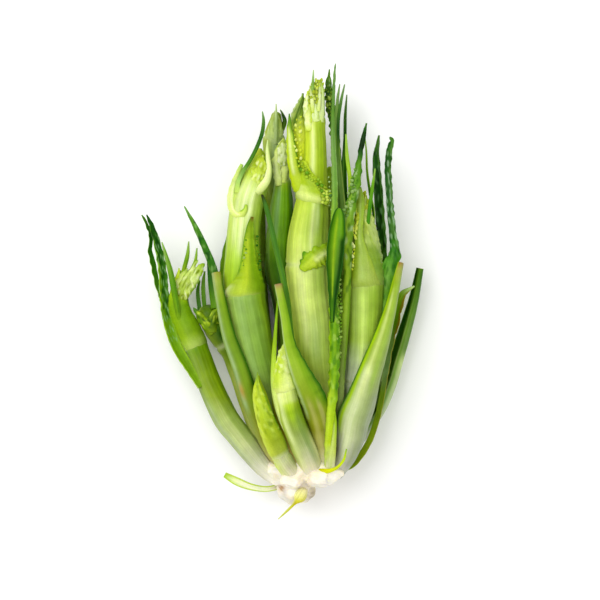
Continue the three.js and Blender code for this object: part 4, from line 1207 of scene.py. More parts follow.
sheath(
    "right_shoot_right_sheath", parent="right_shoot", thick=(1, 0.5), roll=0.3,
    rows=[
        [136, 82, 134, -10, -0.8], [139, 84, 137, -8, 0.4], [145, 88, 143, -4, 0.6], [152, 92, 151, 0, 0.7],
        [160, 95, 159, 2, 0.9], [169, 95, 168, 8, 1.2], [178, 92, 177, 18, 1.6], [187, 84, 187, 36, 2.2],
        [195, 76, 195, 62, 4],
    ],
    outer=[
        (0, "#a9be64"), (0.2, "#86a844"), (0.42, "#86a040"), (0.5, "#a9bd64"), (0.75, "#b4c66c"),
        (0.9, "#c3d43c"), (1, "#86a41c"),
    ],
    right=("#86a848", 0.5), crinkle=0.35, wave=(0.3, 8),
    bands=[
        (0.5, 0.25, "#8f9f24", 0.6, 0.6, 0.85), (-0.3, 0.35, "#c0d080", 0.6, 0.45, 0.85),
        (0.3, 0.3, "#e0ec8c", 0.8, 0.72, 1), (0.75, 0.12, "#6f8c1c", 0.7, 0.3, 0.75),
    ],
    blots=[(6, "#7f9c28", 0.5, 0.3, 1), (5, "#d4e47c", 0.5, 0.5, 1)],
)
sheath(
    "right_shoot_left_sheath", parent="right_shoot", thick=(1, 0.5), roll=0.2,
    rows=[
        [135, 152, 135, 26, -0.8], [138, 148, 138, 42, 0.9], [142.5, 138, 142, 54, 1.2],
        [150, 126, 150, 64, 1.5], [159, 116, 159, 78, 1.9], [169, 112, 169, 88, 2.5],
        [180, 110, 180, 84, 3.6], [191, 112, 191, 80, 5.6], [201, 104, 201, 92, 8.4],
    ],
    outer=[(0, "#a9be5c"), (0.12, "#98ac48"), (0.4, "#98b440"), (0.7, "#9dba44"), (1, "#86a83c")],
    left=("#86a81c", 0.5), crinkle=0.1,
    bands=[
        (0, 0.28, "#bcd474", 0.7, 0.1, 1), (0.7, 0.3, "#7f9c20", 0.5, 0.1, 0.6),
        (-0.5, 0.3, "#a9bf68", 0.4, 0.1, 0.6),
    ],
    blots=[(7, "#86a02c", 0.35, 0.2, 1)],
)
sheath(
    "far_left_shoot_sheath", parent="far_left_shoot", thick=(1.2, 0.5), roll=0.5,
    rows=[
        [94, 175, 93, 5, -0.8], [96.5, 175, 95.5, 5, 0.6], [101, 170, 101, 12, 0.9],
        [109, 160, 109, 25, 1.1], [119, 148, 119, 40, 1.4], [129, 136, 129, 56, 1.8],
        [139, 120, 139, 84, 2.4], [148, 108, 148, 100, 2.8],
    ],
    outer=[(0, "#b9cc6c"), (0.2, "#86a824"), (0.55, "#76a010"), (0.75, "#bcdc1c"), (1, "#d4e650")],
    left=("#a3c430", 0.6), right=("#5f8c0c", 0.6), crinkle=0.12,
)
sheath(
    "back_left_shoot_bract", parent="back_left_shoot", thick=(1.2, 0.5), roll=0.3,
    rows=[
        [235, 132, 235, 38, -0.6], [237.5, 130, 237.5, 38, 0.7], [243, 127, 243, 44, 1],
        [247.5, 122, 247.5, 56, 1.2], [251, 114, 251, 78, 1.5], [253.6, 104, 253.6, 92, 1.4],
    ],
    outer=[(0, "#c3d68c"), (0.3, "#b4c870"), (0.7, "#a5b95c"), (1, "#b4c47c")], crinkle=0.15,
    right=("#8fa834", 0.5),
    blots=[(5, "#7f9a3c", 0.5, 0.3, 1), (4, "#b9cc8c", 0.6, 0.2, 1)],
)
sheath(
    "front_middle_bract", parent="front_middle_shoot", thick=(1, 0.5), roll=0.5,
    rows=[
        [66.5, 180, 66.5, 0, -0.6], [68.5, 178, 68.5, 2, 0.4], [73, 172, 73, 8, 0.6],
        [80, 164, 80, 16, 0.7], [88, 154, 88, 26, 0.9], [96, 138, 96, 44, 1.1], [103, 112, 103, 72, 1.4],
    ],
    outer=[(0, "#e4ee98"), (0.2, "#cfe064"), (0.55, "#c6da50"), (0.85, "#c3d874"), (1, "#b4cc74")],
    left=("#c3d82c", 0.5), right=("#b4d044", 0.5), crinkle=0.3, wave=(0.3, 7),
    bands=[(-0.2, 0.25, "#e6efa4", 0.7, 0.1, 0.6), (0.5, 0.3, "#a9c82c", 0.5, 0.1, 0.5)],
    blots=[(3.4, "#98b828", 0.6, 0.3, 1), (3, "#e9f2b4", 0.6, 0.3, 1)],
)
sheath(
    "front_small_bract", parent="front_small_shoot", thick=(0.9, 0.5), roll=0.3,
    rows=[
        [23.5, 182, 25, 0, -0.6], [26, 180, 27.5, 4, 0.3], [34, 180, 35, 12, 0.5], [43, 180, 43, 24, 0.5],
        [52, 176, 52, 40, 0.6], [61, 166, 61, 56, 0.7], [68, 146, 68, 68, 0.9], [74, 118, 74, 82, 1],
        [79, 100, 79, 90, 1],
    ],
    outer=[
        (0, "#dfe4b0"), (0.06, "#a3b048"), (0.3, "#90a420"), (0.6, "#a0b82c"), (0.85, "#acc02c"),
        (0.95, "#7fa43c"), (1, "#4f7c24"),
    ],
    left=("#d4e450", 0.9), right=("#86a030", 0.6), crinkle=0.08,
    bands=[(-0.25, 0.3, "#b9d050", 0.4, 0.25, 0.85), (-0.95, 0.1, "#5c8f24", 0.8, 0.3, 1)],
    blots=[(5, "#5f7c14", 0.5, 0.3, 0.85), (4.5, "#cfe070", 0.35, 0.3, 0.85)],
)

# Bracts that stand free, and the tufts at the tips.
bract(
    "main_shoot_lower_bract", face=(0.1, 0, -1), curl=45, thick=(1.5, 0.6), wave=(1, 4.6), crinkle=0.6,
    teeth=(0.2, 3.7),
    rows=[
        [21, 162, 53, 5.5], [17, 160, 57.5, 7.2], [12.5, 157.5, 61, 7.8], [8, 154, 63, 7],
        [4, 150.5, 63.6, 5], [1.4, 148, 63.2, 3.2], [0.4, 147, 62.6, 1.4],
    ],
    outer=[(0, "#86a830"), (0.35, "#b4cc40"), (0.6, "#c3d84c"), (0.85, "#b9d040"), (1, "#a3c034")],
    # Its pale band is a painted highlight.
    bands=[
        (-0.9, 0.3, "#4f8c0c", 0.95, 0.1, 1), (-0.4, 0.25, "#86ae1c", 0.7, 0.1, 0.9),
        (0.25, 0.25, "#e6f0a4", 0.7, 0.25, 0.6), (0.85, 0.2, "#98b824", 0.6, 0.1, 1),
    ],
)
bract(
    "left_shoot_curled_bract", face=(-0.3, 0, -0.95), curl=50, thick=(1.8, 0.8), crinkle=0.12,
    wave=(0.2, 6),
    rows=[
        [-38.5, 217, 51, 1.1], [-41.4, 210, 50.5, 1.9], [-44, 202.5, 50, 2.5], [-45.4, 194.5, 50.5, 3],
        [-44.6, 187.8, 52.5, 3], [-41.6, 184, 55.6, 2.7], [-38, 184, 57.5, 2.3], [-35.8, 187, 58, 1.5],
        [-35.8, 190, 57.8, 0.6],
    ],
    outer=[(0, "#a9cc5c"), (0.15, "#cfe080"), (0.5, "#dfea98"), (0.8, "#d9e67c"), (1, "#a9cc40")],
    bands=[(0.85, 0.28, "#86b41c", 0.9, 0.1, 1), (-0.1, 0.2, "#eef4bc", 0.6, 0.3, 0.8)],
)
bract(
    "main_shoot_pointed_bract", face=(0.3, 0, -0.95), curl=55, thick=(1.8, 0.6), wave=(0.3, 8),
    rows=[
        [-0.8, 199, 53, 4.6], [-2.8, 206, 54.5, 4.8], [-5, 216, 55.5, 4.2], [-6.2, 226, 55.5, 3.8],
        [-6.8, 234, 54.5, 3], [-7.2, 242, 53.5, 1.7], [-7.1, 250.5, 52, 0.4],
    ],
    outer=[(0, "#b9d040"), (0.3, "#bcd044"), (0.7, "#b9d054"), (0.82, "#7fa438"), (1, "#4f8424")],
    # Its pale middle band is a painted highlight.
    bands=[
        (0.6, 0.4, "#b9d01c", 0.9, 0, 0.8), (0, 0.22, "#dbe69c", 0.8, 0.25, 0.8),
        (-0.92, 0.22, "#4f8a10", 0.95, 0.25, 1.1), (0.95, 0.14, "#5c8c14", 0.8, 0.6, 1.1),
    ],
)
bract(
    "main_shoot_side_bract", face=(0.2, 0, -0.97), curl=75, thick=(1.8, 0.6), wave=(0.8, 7), crinkle=0.55,
    teeth=(0.15, 6),
    rows=[
        [-0.6, 196, 46, 4], [-0.6, 207, 48.5, 6], [-0.6, 220, 50, 6.6], [-0.8, 234, 49.5, 6.6],
        [-0.8, 245, 48, 5.6], [0, 253, 46.5, 3.8], [1.2, 259.5, 45, 2], [2, 264.5, 44, 0.5],
    ],
    outer=[
        (0, "#c4d41c"), (0.35, "#cbd82c"), (0.6, "#cdd84c"), (0.75, "#a9bc50"), (0.9, "#86a440"),
        (1, "#6f9030"),
    ],
    bands=[
        (-0.75, 0.2, "#8f9c10", 0.7, 0.15, 0.75), (0.5, 0.25, "#a9b814", 0.6, 0.1, 0.6),
        (-0.2, 0.3, "#4f7a24", 0.6, 0.78, 1.1),
    ],
)
bract(
    "left_shoot_hooked_bract", face=(-0.4, 0, -0.9), curl=50, thick=(1.8, 0.6),
    rows=[
        [-29, 198, 54.5, 3.4], [-25, 201.5, 54.5, 3.4], [-21.5, 206.5, 54, 2.8], [-20.3, 213.5, 53.5, 2.1],
        [-21, 221, 53, 1.7], [-21.6, 227, 52.5, 1.1], [-21.4, 233, 52, 0.3],
    ],
    outer=[(0, "#dcea94"), (0.3, "#e9f2ae"), (0.7, "#e2eea4"), (1, "#c3d894")], right=("#b4d02c", 0.5),
    bands=[(-0.9, 0.15, "#8fb01c", 0.7, 0.1, 0.9)],
)
bract(
    "left_shoot_curled_leaf", face=(0.7, 0, -0.7), curl=65, thick=(1.6, 0.5),
    suffix="_dark",
    rows=[
        [-42.5, 198, 52, 2.4], [-41.6, 205, 52.5, 2], [-38.4, 212, 53, 1.7], [-33.6, 219.5, 53, 1.7],
        [-29.2, 228, 53, 1.8], [-25.8, 237, 53, 1.8], [-24.6, 245, 53, 1.5], [-25, 252, 52, 0.4],
    ],
    outer=[
        (0, "#c9e06c"), (0.15, "#a5cc6c"), (0.35, "#55842c"), (0.7, "#356010"), (0.9, "#55803a"),
        (1, "#7fa468"),
    ],
    inner=DEEP_IN,
    bands=[(0.9, 0.3, "#a9cc80", 0.8, 0, 0.8)], material=LEAF,
)
bract(
    "left_shoot_top_fold", face=(0.1, 0.25, -0.96), curl=60, thick=(1.4, 0.5), crinkle=0.9,
    rows=[
        [-30.4, 201, 53.2, 2.6], [-29.6, 205, 54.6, 5], [-28, 210, 55.2, 5.8], [-26.4, 215, 54.6, 4.8],
        [-25.6, 220, 53, 2.8], [-25.2, 223, 51.5, 1],
    ],
    outer=[(0, "#dfea9c"), (0.25, "#c9dc60"), (0.6, "#bcd044"), (0.85, "#b4c63c"), (1, "#98ac3c")],
    bands=[(-0.9, 0.2, "#a3b82c", 0.7, 0.1, 1)],
    blots=[(3, "#93a41c", 0.9, 0, 1), (3.4, "#e9f2ac", 0.7, 0, 1)],
)
tuft(
    "middle_back_top_fold", face=(0, 0.2, -0.97), curl=55, crinkle=0.7,
    rows=[
        [-12.2, 216, 42.6, 2], [-12, 221, 44, 3.2], [-11.8, 227, 44, 3.6], [-11.6, 231.5, 43, 2.6],
        [-11.4, 235, 41.5, 1],
    ],
    outer=[(0, "#cfe08c"), (0.4, "#dfeaac"), (0.8, "#cfdf7c"), (1, "#a9bc54")],
    blots=[(3, "#8fa434", 0.8, 0, 1), (3, "#eef4cc", 0.6, 0, 1)],
)
tuft(
    "back_left_shoot_spike", face=(0.2, 0, -0.97), curl=50,
    rows=[[-16.4, 231, 34.5, 1.4], [-16.1, 240, 37, 1.5], [-16, 249, 36.5, 1], [-16, 258, 35, 0.35]],
    outer=[(0, "#b4c488"), (0.5, "#a3b874"), (1, "#b9cc98")],
    bands=[(-0.8, 0.3, "#6f8c34", 0.7, 0.1, 1)],
)
tuft(
    "back_left_shoot_side_leaf", face=(0.2, 0, -0.95), curl=50, suffix="_dark",
    rows=[
        [-13.5, 238, 29, 1.6], [-11.5, 243, 30, 1.8], [-10.4, 247, 30, 1.6], [-11.8, 251.5, 30, 0.9],
        [-13.3, 254.5, 30, 0.3],
    ],
    outer=[(0, "#a9bd6c"), (0.3, "#5c7c20"), (0.7, "#2f4c08"), (1, "#5c7c30")], inner=DEEP_IN,
    material=LEAF,
)
tuft(
    "main_shoot_tip_left_bract", face=(0.3, 0, -0.95), curl=60,
    rows=[
        [4.6, 246, 49.5, 1.6], [4, 251, 50.2, 2.4], [3.8, 256, 50, 2.5], [4.4, 261, 49, 1.8],
        [5.6, 266, 47.5, 0.4],
    ],
    outer=[(0, "#d9e86c"), (0.3, "#e9f2b4"), (0.75, "#eef5b8"), (0.9, "#c9da50"), (1, "#a3b82c")],
    crinkle=0.3,
    bands=[(0.9, 0.2, "#8fac2c", 0.8, 0.3, 1), (-0.7, 0.2, "#a9c440", 0.7, 0.2, 0.8)],
    blots=[(2.6, "#b4cc4c", 0.7, 0.2, 1)],
)
tuft(
    "main_shoot_tip_middle_bract", face=(0, 0, -1), curl=55,
    rows=[
        [9.8, 243.5, 50, 3.4], [10, 248, 51, 4.2], [10.2, 253, 50.8, 3.8], [10.6, 258, 49.4, 2.2],
        [11, 262, 48, 0.6],
    ],
    outer=[(0, "#d4e480"), (0.3, "#e4efb4"), (0.8, "#d9e6a0"), (1, "#a9bf54")], crinkle=0.3,
    bands=[(-0.5, 0.2, "#a9c844", 0.7, 0.2, 0.9), (0.3, 0.2, "#c3d68c", 0.6, 0.2, 0.9)],
    blots=[(2.4, "#b4cc50", 0.6, 0.2, 1)],
)
bract(
    "main_shoot_tip_spikes", face=(0, 0, -1), curl=45, thick=(1, 0.5),
    rows=[[8.6, 251, 51.5, 1], [8.2, 257, 51.5, 1.3], [7.6, 263, 50, 1], [6.6, 269.5, 47.5, 0.3]],
    outer=[(0, "#c9dc50"), (0.5, "#e6efb0"), (1, "#98b03c")],
)
bract(
    "main_shoot_tip_right_spike", face=(0, 0, -1), curl=45, thick=(1, 0.5),
    rows=[[12.4, 252, 51.5, 1], [12.6, 258, 51, 1.3], [13, 265, 49, 1.1], [13.2, 273.5, 45.5, 0.3]],
    outer=[(0, "#d4e47c"), (0.5, "#dfeab0"), (1, "#a3b854")],
    bands=[(0.7, 0.3, "#8fac2c", 0.7, 0.2, 1)],
)
tuft(
    "main_shoot_tip_front_bract", face=(0.1, 0, -1), curl=50,
    rows=[[5.8, 239, 51.5, 2.2], [5.6, 245, 51.8, 2.8], [5.9, 251, 51.3, 2.7], [6.6, 257, 50, 1.2]],
    outer=[(0, "#d4e64c"), (0.3, "#eaf2ae"), (0.6, "#dfea90"), (1, "#b4c634")], crinkle=0.3,
    bands=[(-0.6, 0.3, "#bcd40c", 0.9, 0.3, 0.95)],
)
tuft(
    "main_shoot_tip_right_bract", face=(-0.2, 0, -0.97), curl=50,
    rows=[
        [14, 245, 49, 2.4], [14.4, 252, 49, 2.5], [14.6, 260, 48.5, 2.2], [14.6, 267, 47, 1.6],
        [14.2, 272.5, 45.5, 0.5],
    ],
    outer=[(0, "#cfe08c"), (0.4, "#d9e8a8"), (0.8, "#c3da7c"), (1, "#8fae3c")],
    bands=[(-0.85, 0.2, "#5c8414", 0.9, 0.05, 0.95), (0.5, 0.2, "#a3c04c", 0.5, 0.3, 0.9)],
)
tuft(
    "main_shoot_tip_side_bract", face=(0.3, 0, -0.95), curl=55,
    rows=[
        [-5.6, 240, 48.5, 2], [-4.6, 247, 49, 2.8], [-2.6, 253, 48.5, 2.6], [-0.2, 258.5, 47.5, 1.8],
        [2, 264, 46, 0.4],
    ],
    outer=[(0, "#a9c048"), (0.5, "#98ac58"), (1, "#8fac54")], crinkle=0.3,
    bands=[(-0.5, 0.25, "#3a6020", 0.85, 0.15, 1), (0.5, 0.2, "#c3d494", 0.7, 0.2, 0.9)],
    blots=[(3, "#4f7424", 0.5, 0.2, 1)],
)
bract(
    "left_shoot_top_bract", face=(0.2, 0, -0.97), curl=75, thick=(1.4, 0.6), crinkle=0.5,
    wave=(0.6, 6),
    rows=[
        [-33, 201, 47, 7], [-30.5, 209, 48, 8.2], [-28.6, 216, 48.5, 7.8], [-27.8, 221.5, 47.5, 6.6],
        [-27.4, 225.5, 45.5, 4.4], [-27.4, 227.6, 44, 2],
    ],
    outer=[(0, "#c9dc6c"), (0.3, "#bcd044"), (0.5, "#aec42c"), (0.75, "#c0d034"), (1, "#cfdc54")],
    bands=[(-0.6, 0.35, "#7f9f0c", 0.85, 0.35, 1), (0.7, 0.3, "#c6da44", 0.6, 0, 0.6)],
)
tuft(
    "middle_back_left_bract", face=(0.3, 0, -0.95), curl=55, crinkle=0.3, wave=(0.5, 6),
    rows=[
        [-14.4, 203, 42, 2.2], [-15.6, 210, 43, 3.2], [-16.2, 217, 43.2, 3.2], [-15.6, 224, 42.5, 2.4],
        [-14.6, 230, 41.5, 0.8],
    ],
    outer=[(0, "#cfe07c"), (0.4, "#e2eca8"), (0.8, "#d9e688"), (1, "#b4cc50")],
    bands=[(0.8, 0.25, "#a3bf30", 0.7, 0.1, 0.9), (-0.6, 0.25, "#b4cc44", 0.6, 0.3, 0.9)],
)
tuft(
    "middle_back_right_bract", face=(-0.2, 0, -0.97), curl=55, crinkle=0.35, wave=(0.5, 6),
    rows=[
        [-11, 205, 41, 2.4], [-10.4, 213, 41.5, 3], [-10.6, 222, 41.5, 2.8], [-11, 229, 40.5, 1.8],
        [-11.4, 234, 39.5, 0.6],
    ],
    outer=[(0, "#cfe070"), (0.3, "#dbe890"), (0.7, "#d4e280"), (1, "#a9bc34")],
    bands=[(-0.85, 0.2, "#a3bf30", 0.7, 0.1, 0.9)],
)
tuft(
    "fan_right_bract", face=(0.25, -0.2, -0.95), curl=50, crinkle=0.7,
    rows=[
        [-81, 126, 33.5, 3.4], [-78.4, 132, 35.5, 5.2], [-74.6, 138.5, 36.5, 5.8],
        [-70.4, 144.5, 36.5, 4.6], [-66.6, 149, 36, 2.6], [-63.8, 151, 35.5, 0.5],
    ],
    outer=[(0, "#a9bd54"), (0.3, "#c3d868"), (0.6, "#d4e490"), (0.85, "#b4d050"), (1, "#7fa424")],
    bands=[(-0.9, 0.2, "#6f9a18", 0.8, 0.2, 1), (0.9, 0.2, "#6f9a18", 0.7, 0.2, 1)],
    blots=[(3.6, "#7f9418", 0.9, 0, 0.95), (3, "#eef4bc", 0.7, 0.1, 0.9)],
)
tuft(
    "fan_middle_bract", face=(0.2, -0.2, -0.95), curl=50, crinkle=0.5,
    rows=[
        [-83, 126, 33.5, 2.6], [-80.6, 133, 36, 4], [-77, 140, 37, 3.8], [-73, 146, 37, 2.4],
        [-70.4, 150.5, 36, 1], [-68.4, 153.5, 35.5, 0.3],
    ],
    outer=[(0, "#98b034"), (0.4, "#b4cc58"), (0.8, "#cfe080"), (1, "#9aba50")],
    bands=[(0.8, 0.25, "#7fa424", 0.8, 0.1, 1)],
    blots=[(3.4, "#7f9418", 0.8, 0, 0.95), (3, "#e6efac", 0.6, 0.1, 0.9)],
)
tuft(
    "fan_left_bract", face=(0.2, 0, -0.97), curl=50, crinkle=0.35, wave=(0.5, 5),
    rows=[[-82.5, 128, 33.5, 2.4], [-81.5, 136, 35, 3], [-78.5, 143, 35.5, 2.2], [-75.5, 148, 35, 0.6]],
    outer=[(0, "#b4cc50"), (0.4, "#d9e68c"), (0.8, "#c3d86c"), (1, "#8fae40")],
)
bract(
    "cup_left_bract", face=(0.3, 0.3, -0.9), curl=55, thick=(1.3, 0.5), crinkle=0.35,
    wave=(0.5, 6),
    rows=[[-58.5, 104, 33.5, 3.6], [-63.5, 110, 35, 4.4], [-68, 116, 35.5, 3], [-71.5, 121.5, 35, 0.5]],
    outer=[(0, "#86a02c"), (0.4, "#6f9414"), (0.8, "#5c8410"), (1, "#4f7c10")],
    bands=[(-0.6, 0.4, "#a9c434", 0.6, 0.2, 0.8), (0.9, 0.15, "#3f6410", 0.8, 0.2, 1)],
    blots=[(3.4, "#3f5c0c", 0.8, 0.2, 1), (3, "#c3d848", 0.7, 0.3, 1)],
)
bract(
    "cup_right_bract", face=(-0.2, 0.3, -0.9), curl=50, thick=(1.3, 0.5), crinkle=0.4,
    wave=(0.6, 6),
    rows=[[-58, 105, 34.5, 4], [-58, 112, 35.5, 4.4], [-57, 117.5, 35, 2.6], [-55.5, 121, 34, 0.6]],
    outer=[(0, "#7f9824"), (0.4, "#4f6f0c"), (0.7, "#86a428"), (1, "#93b430")],
    blots=[(3.4, "#3f5c0c", 0.7, 0.2, 0.8), (3, "#c9dc54", 0.8, 0.4, 1)],
)

# Leaves and leaflets.
leaf(
    "far_left_leaf", face=(0.65, 0, 0.76), curl=60, thick=(2, 0.6),
    rows=[
        [-67, 68, 36, 2.5], [-75, 81, 35, 4], [-84, 96, 34.5, 4.8], [-89.5, 112, 33, 4.8],
        [-92, 128, 32, 4.4], [-93, 144, 31, 3.8], [-95.5, 160, 31, 3.2], [-99.5, 175, 31, 2.2],
        [-103, 184, 31, 0.5],
    ],
    outer=[(0, "#b4cc6c"), (0.2, "#8fb41c"), (0.5, "#8fb81c"), (0.75, "#7fac1c"), (1, "#2f5a14")],
    inner=[(0, "#7fa42c"), (0.35, "#6f9c18"), (0.6, "#4f8014"), (0.8, "#356410"), (1, "#2a540e")],
    wave=(0.4, 9), teeth=(0.05, 7), crinkle=0.12, wavy=(0.45, 1),
    inner_bands=[
        (-0.85, 0.45, "#86b418", 0.95, 0, 0.72), (0.3, 0.3, "#2f5c0c", 0.8, 0.45, 1),
        (0.95, 0.15, "#8fb424", 0.8, 0, 0.5),
    ],
    blots=[(5, "#1f4408", 0.7, 0.45, 1), (4, "#93bc84", 0.55, 0.3, 0.85)],
)
leaf(
    "far_left_thin_leaf", face=(0.5, 0, 0.8),
    rows=[
        [-92, 124, 32.5, 1.4], [-96, 137, 29, 1.8], [-99.2, 152, 27, 2], [-101, 160, 27, 1.6],
        [-100.5, 170, 27, 1.4], [-104.3, 180, 26, 1], [-106.5, 184, 26, 0.4],
    ],
    outer=SPRING,
    inner=[(0, "#5c8c24"), (0.4, "#3f6f14"), (0.8, "#2f5a10"), (1, "#4f7c24")], wave=(0.3, 8),
)
leaf(
    "far_left_inner_leaf", face=(0.4, 0, -0.9), curl=45,
    rows=[
        [-80.6, 108, 31, 0.8], [-81.6, 116, 36, 1.8], [-84.5, 133, 39, 2.2], [-87, 146, 38.5, 2],
        [-90, 157, 37.5, 1.3], [-92.5, 165.5, 36.5, 0.4],
    ],
    outer=[(0, "#86a82c"), (0.5, "#5f9010"), (1, "#8fb45c")],
    bands=[(-0.6, 0.3, "#4f7c0c", 0.7, 0.2, 0.9)],
)
leaf(
    "left_dark_leaf", face=(0.75, 0, -0.6), curl=55, thick=(1.6, 0.6),
    rows=[
        [-49.5, 103, 54, 1.8], [-53, 116, 52.5, 2.6], [-55, 130, 51, 3.4], [-58, 145, 51, 3.9],
        [-63.5, 160, 51, 3.4], [-70, 175, 51, 2.3], [-77, 189, 50, 0.5],
    ],
    outer=[(0, "#4f7c14"), (0.5, "#3a6a10"), (0.75, "#3f7414"), (0.9, "#5f9034"), (1, "#6f9c48")],
    wave=(0.25, 9),
    bands=[(0.75, 0.4, "#7fa41c", 0.95, 0, 0.8)],
    blots=[(5, "#1f480a", 0.7, 0.2, 0.9), (4, "#86b06c", 0.5, 0.2, 0.9)],
)
leaf(
    "left_inner_leaf", face=(0.5, 0, -0.8), curl=50, thick=(1.5, 0.6),
    rows=[
        [-5, 93, 61, 2], [-7, 110, 62, 2.3], [-9, 127, 62, 2.4], [-12.5, 145, 61, 2.3],
        [-16.8, 163, 60, 2.2], [-20.5, 179, 59, 2], [-23.6, 191, 58, 1.6], [-25.4, 196.5, 57, 0.8],
    ],
    outer=[(0, "#6a9428"), (0.4, "#5f8c30"), (0.75, "#55803a"), (0.93, "#4a7430"), (1, "#38301c")],
    bands=[(-0.5, 0.4, "#3f6c1c", 0.7, 0.1, 0.9), (0.7, 0.25, "#86ac58", 0.5, 0.1, 0.9)],
)
leaf(
    "long_front_leaf", face=(0.6, 0, -0.8), curl=60, thick=(2, 0.6),
    rows=[
        [17.4, 14, 52, 2], [17.8, 32, 63, 2.8], [19.2, 50, 67.5, 3.6], [21, 73, 67.5, 4.2],
        [21.5, 107, 66, 4.4], [21, 140, 65, 3.6], [20.8, 160, 64, 3], [22, 182, 61, 2.8],
        [22.4, 200, 58, 2.7], [22.2, 215, 55.5, 2.4], [21.6, 230, 53.5, 2], [21.5, 247, 52, 1.5],
        [22, 262, 51, 1.3], [22.7, 275, 50.5, 1], [23.5, 284, 50, 0.4],
    ],
    outer=[
        (0, "#dfe2ac"), (0.08, "#b4cc34"), (0.25, "#93bc1c"), (0.4, "#7fa81c"), (0.52, "#86b028"),
        (0.62, "#8fb83c"), (0.7, "#7fa650"), (0.8, "#7fa05c"), (0.88, "#5c8438"), (1, "#6f9450"),
    ],
    inner=[(0, "#7f9c2c"), (0.2, "#4f8014"), (0.5, "#4f8414"), (0.8, "#3f7420"), (1, "#3f6c20")],
    wave=(0.6, 8), wavy=(0.2, 0.52), teeth=(0.2, 7), crinkle=0.25,
    bands=[
        (0.55, 0.22, "#a3cc14", 0.95, 0, 0.6), (-0.15, 0.25, "#55881c", 0.7, 0.22, 0.55),
        (-0.8, 0.3, "#4a7c14", 0.8, 0.2, 0.55), (0.1, 0.4, "#c3da4c", 0.6, 0, 0.2),
        (0.7, 0.2, "#a9c488", 0.6, 0.62, 0.85), (-0.5, 0.25, "#5f8c3c", 0.7, 0.6, 0.85),
    ],
    blots=[(5, "#3f7014", 0.6, 0.2, 0.6), (5, "#b4d46c", 0.4, 0.2, 0.6)],
)
# A dark leaf that fills the gap behind the shoots; its dark colour is painted shade.
leaf(
    "back_dark_leaf", face=(0, 0, 1), thick=(1.6, 0.8),
    rows=[
        [-9, 78, 30, 2.2], [-11, 95, 31, 3.2], [-13, 112, 32, 3.6], [-14.8, 126, 33, 3.8],
        [-17, 138, 33.5, 4.8], [-19.5, 149, 34, 4.4], [-21, 158, 34, 1.5],
    ],
    inner=[(0, "#5c6c1c"), (0.4, "#34440c"), (0.7, "#2f3c0c"), (0.85, "#44581c"), (1, "#4f6c14")],
    inner_bands=[(-0.4, 0.3, "#5c541c", 0.6, 0.3, 0.8)],
)
leaf(
    "base_lime_leaf", face=(0.2, 0, -0.97), curl=55, thick=(1.8, 0.6),
    rows=[
        [19.6, 9, 50, 2.2], [19.6, 16, 56, 3.4], [20.2, 25, 60.5, 3.6], [21, 36, 63.5, 3.2],
        [22, 46, 65.5, 2.2], [22.8, 54, 66.5, 0.5],
    ],
    outer=[(0, "#f2ecd4"), (0.2, "#dcdcae"), (0.4, "#bccb60"), (0.7, "#a9c838"), (1, "#98c41c")],
    inner=FRESH,
    bands=[(0.7, 0.25, "#b4d41c", 0.8, 0.3, 1), (-0.2, 0.3, "#cfdc84", 0.6, 0.2, 0.8)],
)
# An old leaf base that fills the gap between the front shoots; its brown-olive is partly painted shade.
leaf(
    "base_brown_sheath", face=(0, 0, -1), curl=45, thick=(1.6, 0.8),
    rows=[
        [3.4, 9, 49, 2.6], [-3.4, 20, 54, 3.4], [-8.8, 32, 57, 3.6], [-13, 46, 59.5, 3.4],
        [-16, 61, 60.5, 2.6], [-17, 75, 60, 1],
    ],
    outer=[(0, "#cdb88c"), (0.25, "#b4a05c"), (0.5, "#8f8a24"), (1, "#7f9c24")], inner=FRESH,
)
leaf(
    "spoon_leaf", face=(0.1, 0, 1), curl=70, thick=(1.6, 0.6),
    rows=[
        [21.2, 112, 66.5, 1.4], [21.4, 124, 70, 2.6], [21.8, 138, 72.5, 4.8], [22.4, 152, 73, 6.8],
        [23.4, 165, 73, 7.2], [24.6, 176, 72, 6.2], [25.4, 183.5, 71, 4], [25.8, 187, 70, 1.6],
    ],
    outer=[(0, "#6a9434"), (1, "#4a7c1c")],
    inner=[(0, "#5c8c14"), (0.3, "#3f6c0c"), (0.6, "#6a9810"), (0.8, "#6a9c0c"), (1, "#6a9c1c")],
    edge="#3a6410", edge_from=0.5, wave=(0.15, 12),
    inner_bands=[
        (-0.12, 0.16, "#98b828", 0.9, 0.25, 0.9), (0.7, 0.35, "#1f3c06", 0.85, 0, 0.72),
        (-0.6, 0.25, "#4f7c0c", 0.6, 0.3, 0.95),
    ],
)
leaf(
    "tall_back_leaf", face=(-0.2, 0, 0.95), curl=50, thick=(1.6, 0.6),
    rows=[
        [25, 124, 26.5, 2.2], [25.8, 142, 29.5, 3], [26.6, 167, 31.5, 3.6], [26.6, 190, 34, 3.9],
        [25.3, 212, 36, 3.8], [24.2, 230, 37, 3.2], [22.4, 246, 38, 2.6], [20.3, 258, 38, 2.8],
        [19.3, 268, 38, 2.4], [19.3, 275, 38, 1.2], [19.7, 281, 38, 0.4],
    ],
    inner=[
        (0, "#4f7c1c"), (0.4, "#7fa450"), (0.55, "#8aab5c"), (0.66, "#86a660"), (0.75, "#4f7424"),
        (0.9, "#446a1c"), (1, "#5c7c2c"),
    ],
    wave=(0.5, 6), wavy=(0.72, 1), teeth=(0.35, 5), crinkle=0.2,
    inner_bands=[
        (0.9, 0.2, "#2f540c", 0.8, 0.2, 0.72), (0.45, 0.18, "#98b85c", 0.6, 0.3, 0.7),
        (0.1, 0.12, "#3f6c14", 0.7, 0.25, 0.7),
    ],
    # Its beads are painted glints and painted shade on the crinkled edge.
    beads=[(0.5, 0.3, "#a9c094", 0.6, 0.72, 0.95, 5), (-0.5, 0.4, "#2f5010", 0.7, 0.7, 1, 4.1)],
)
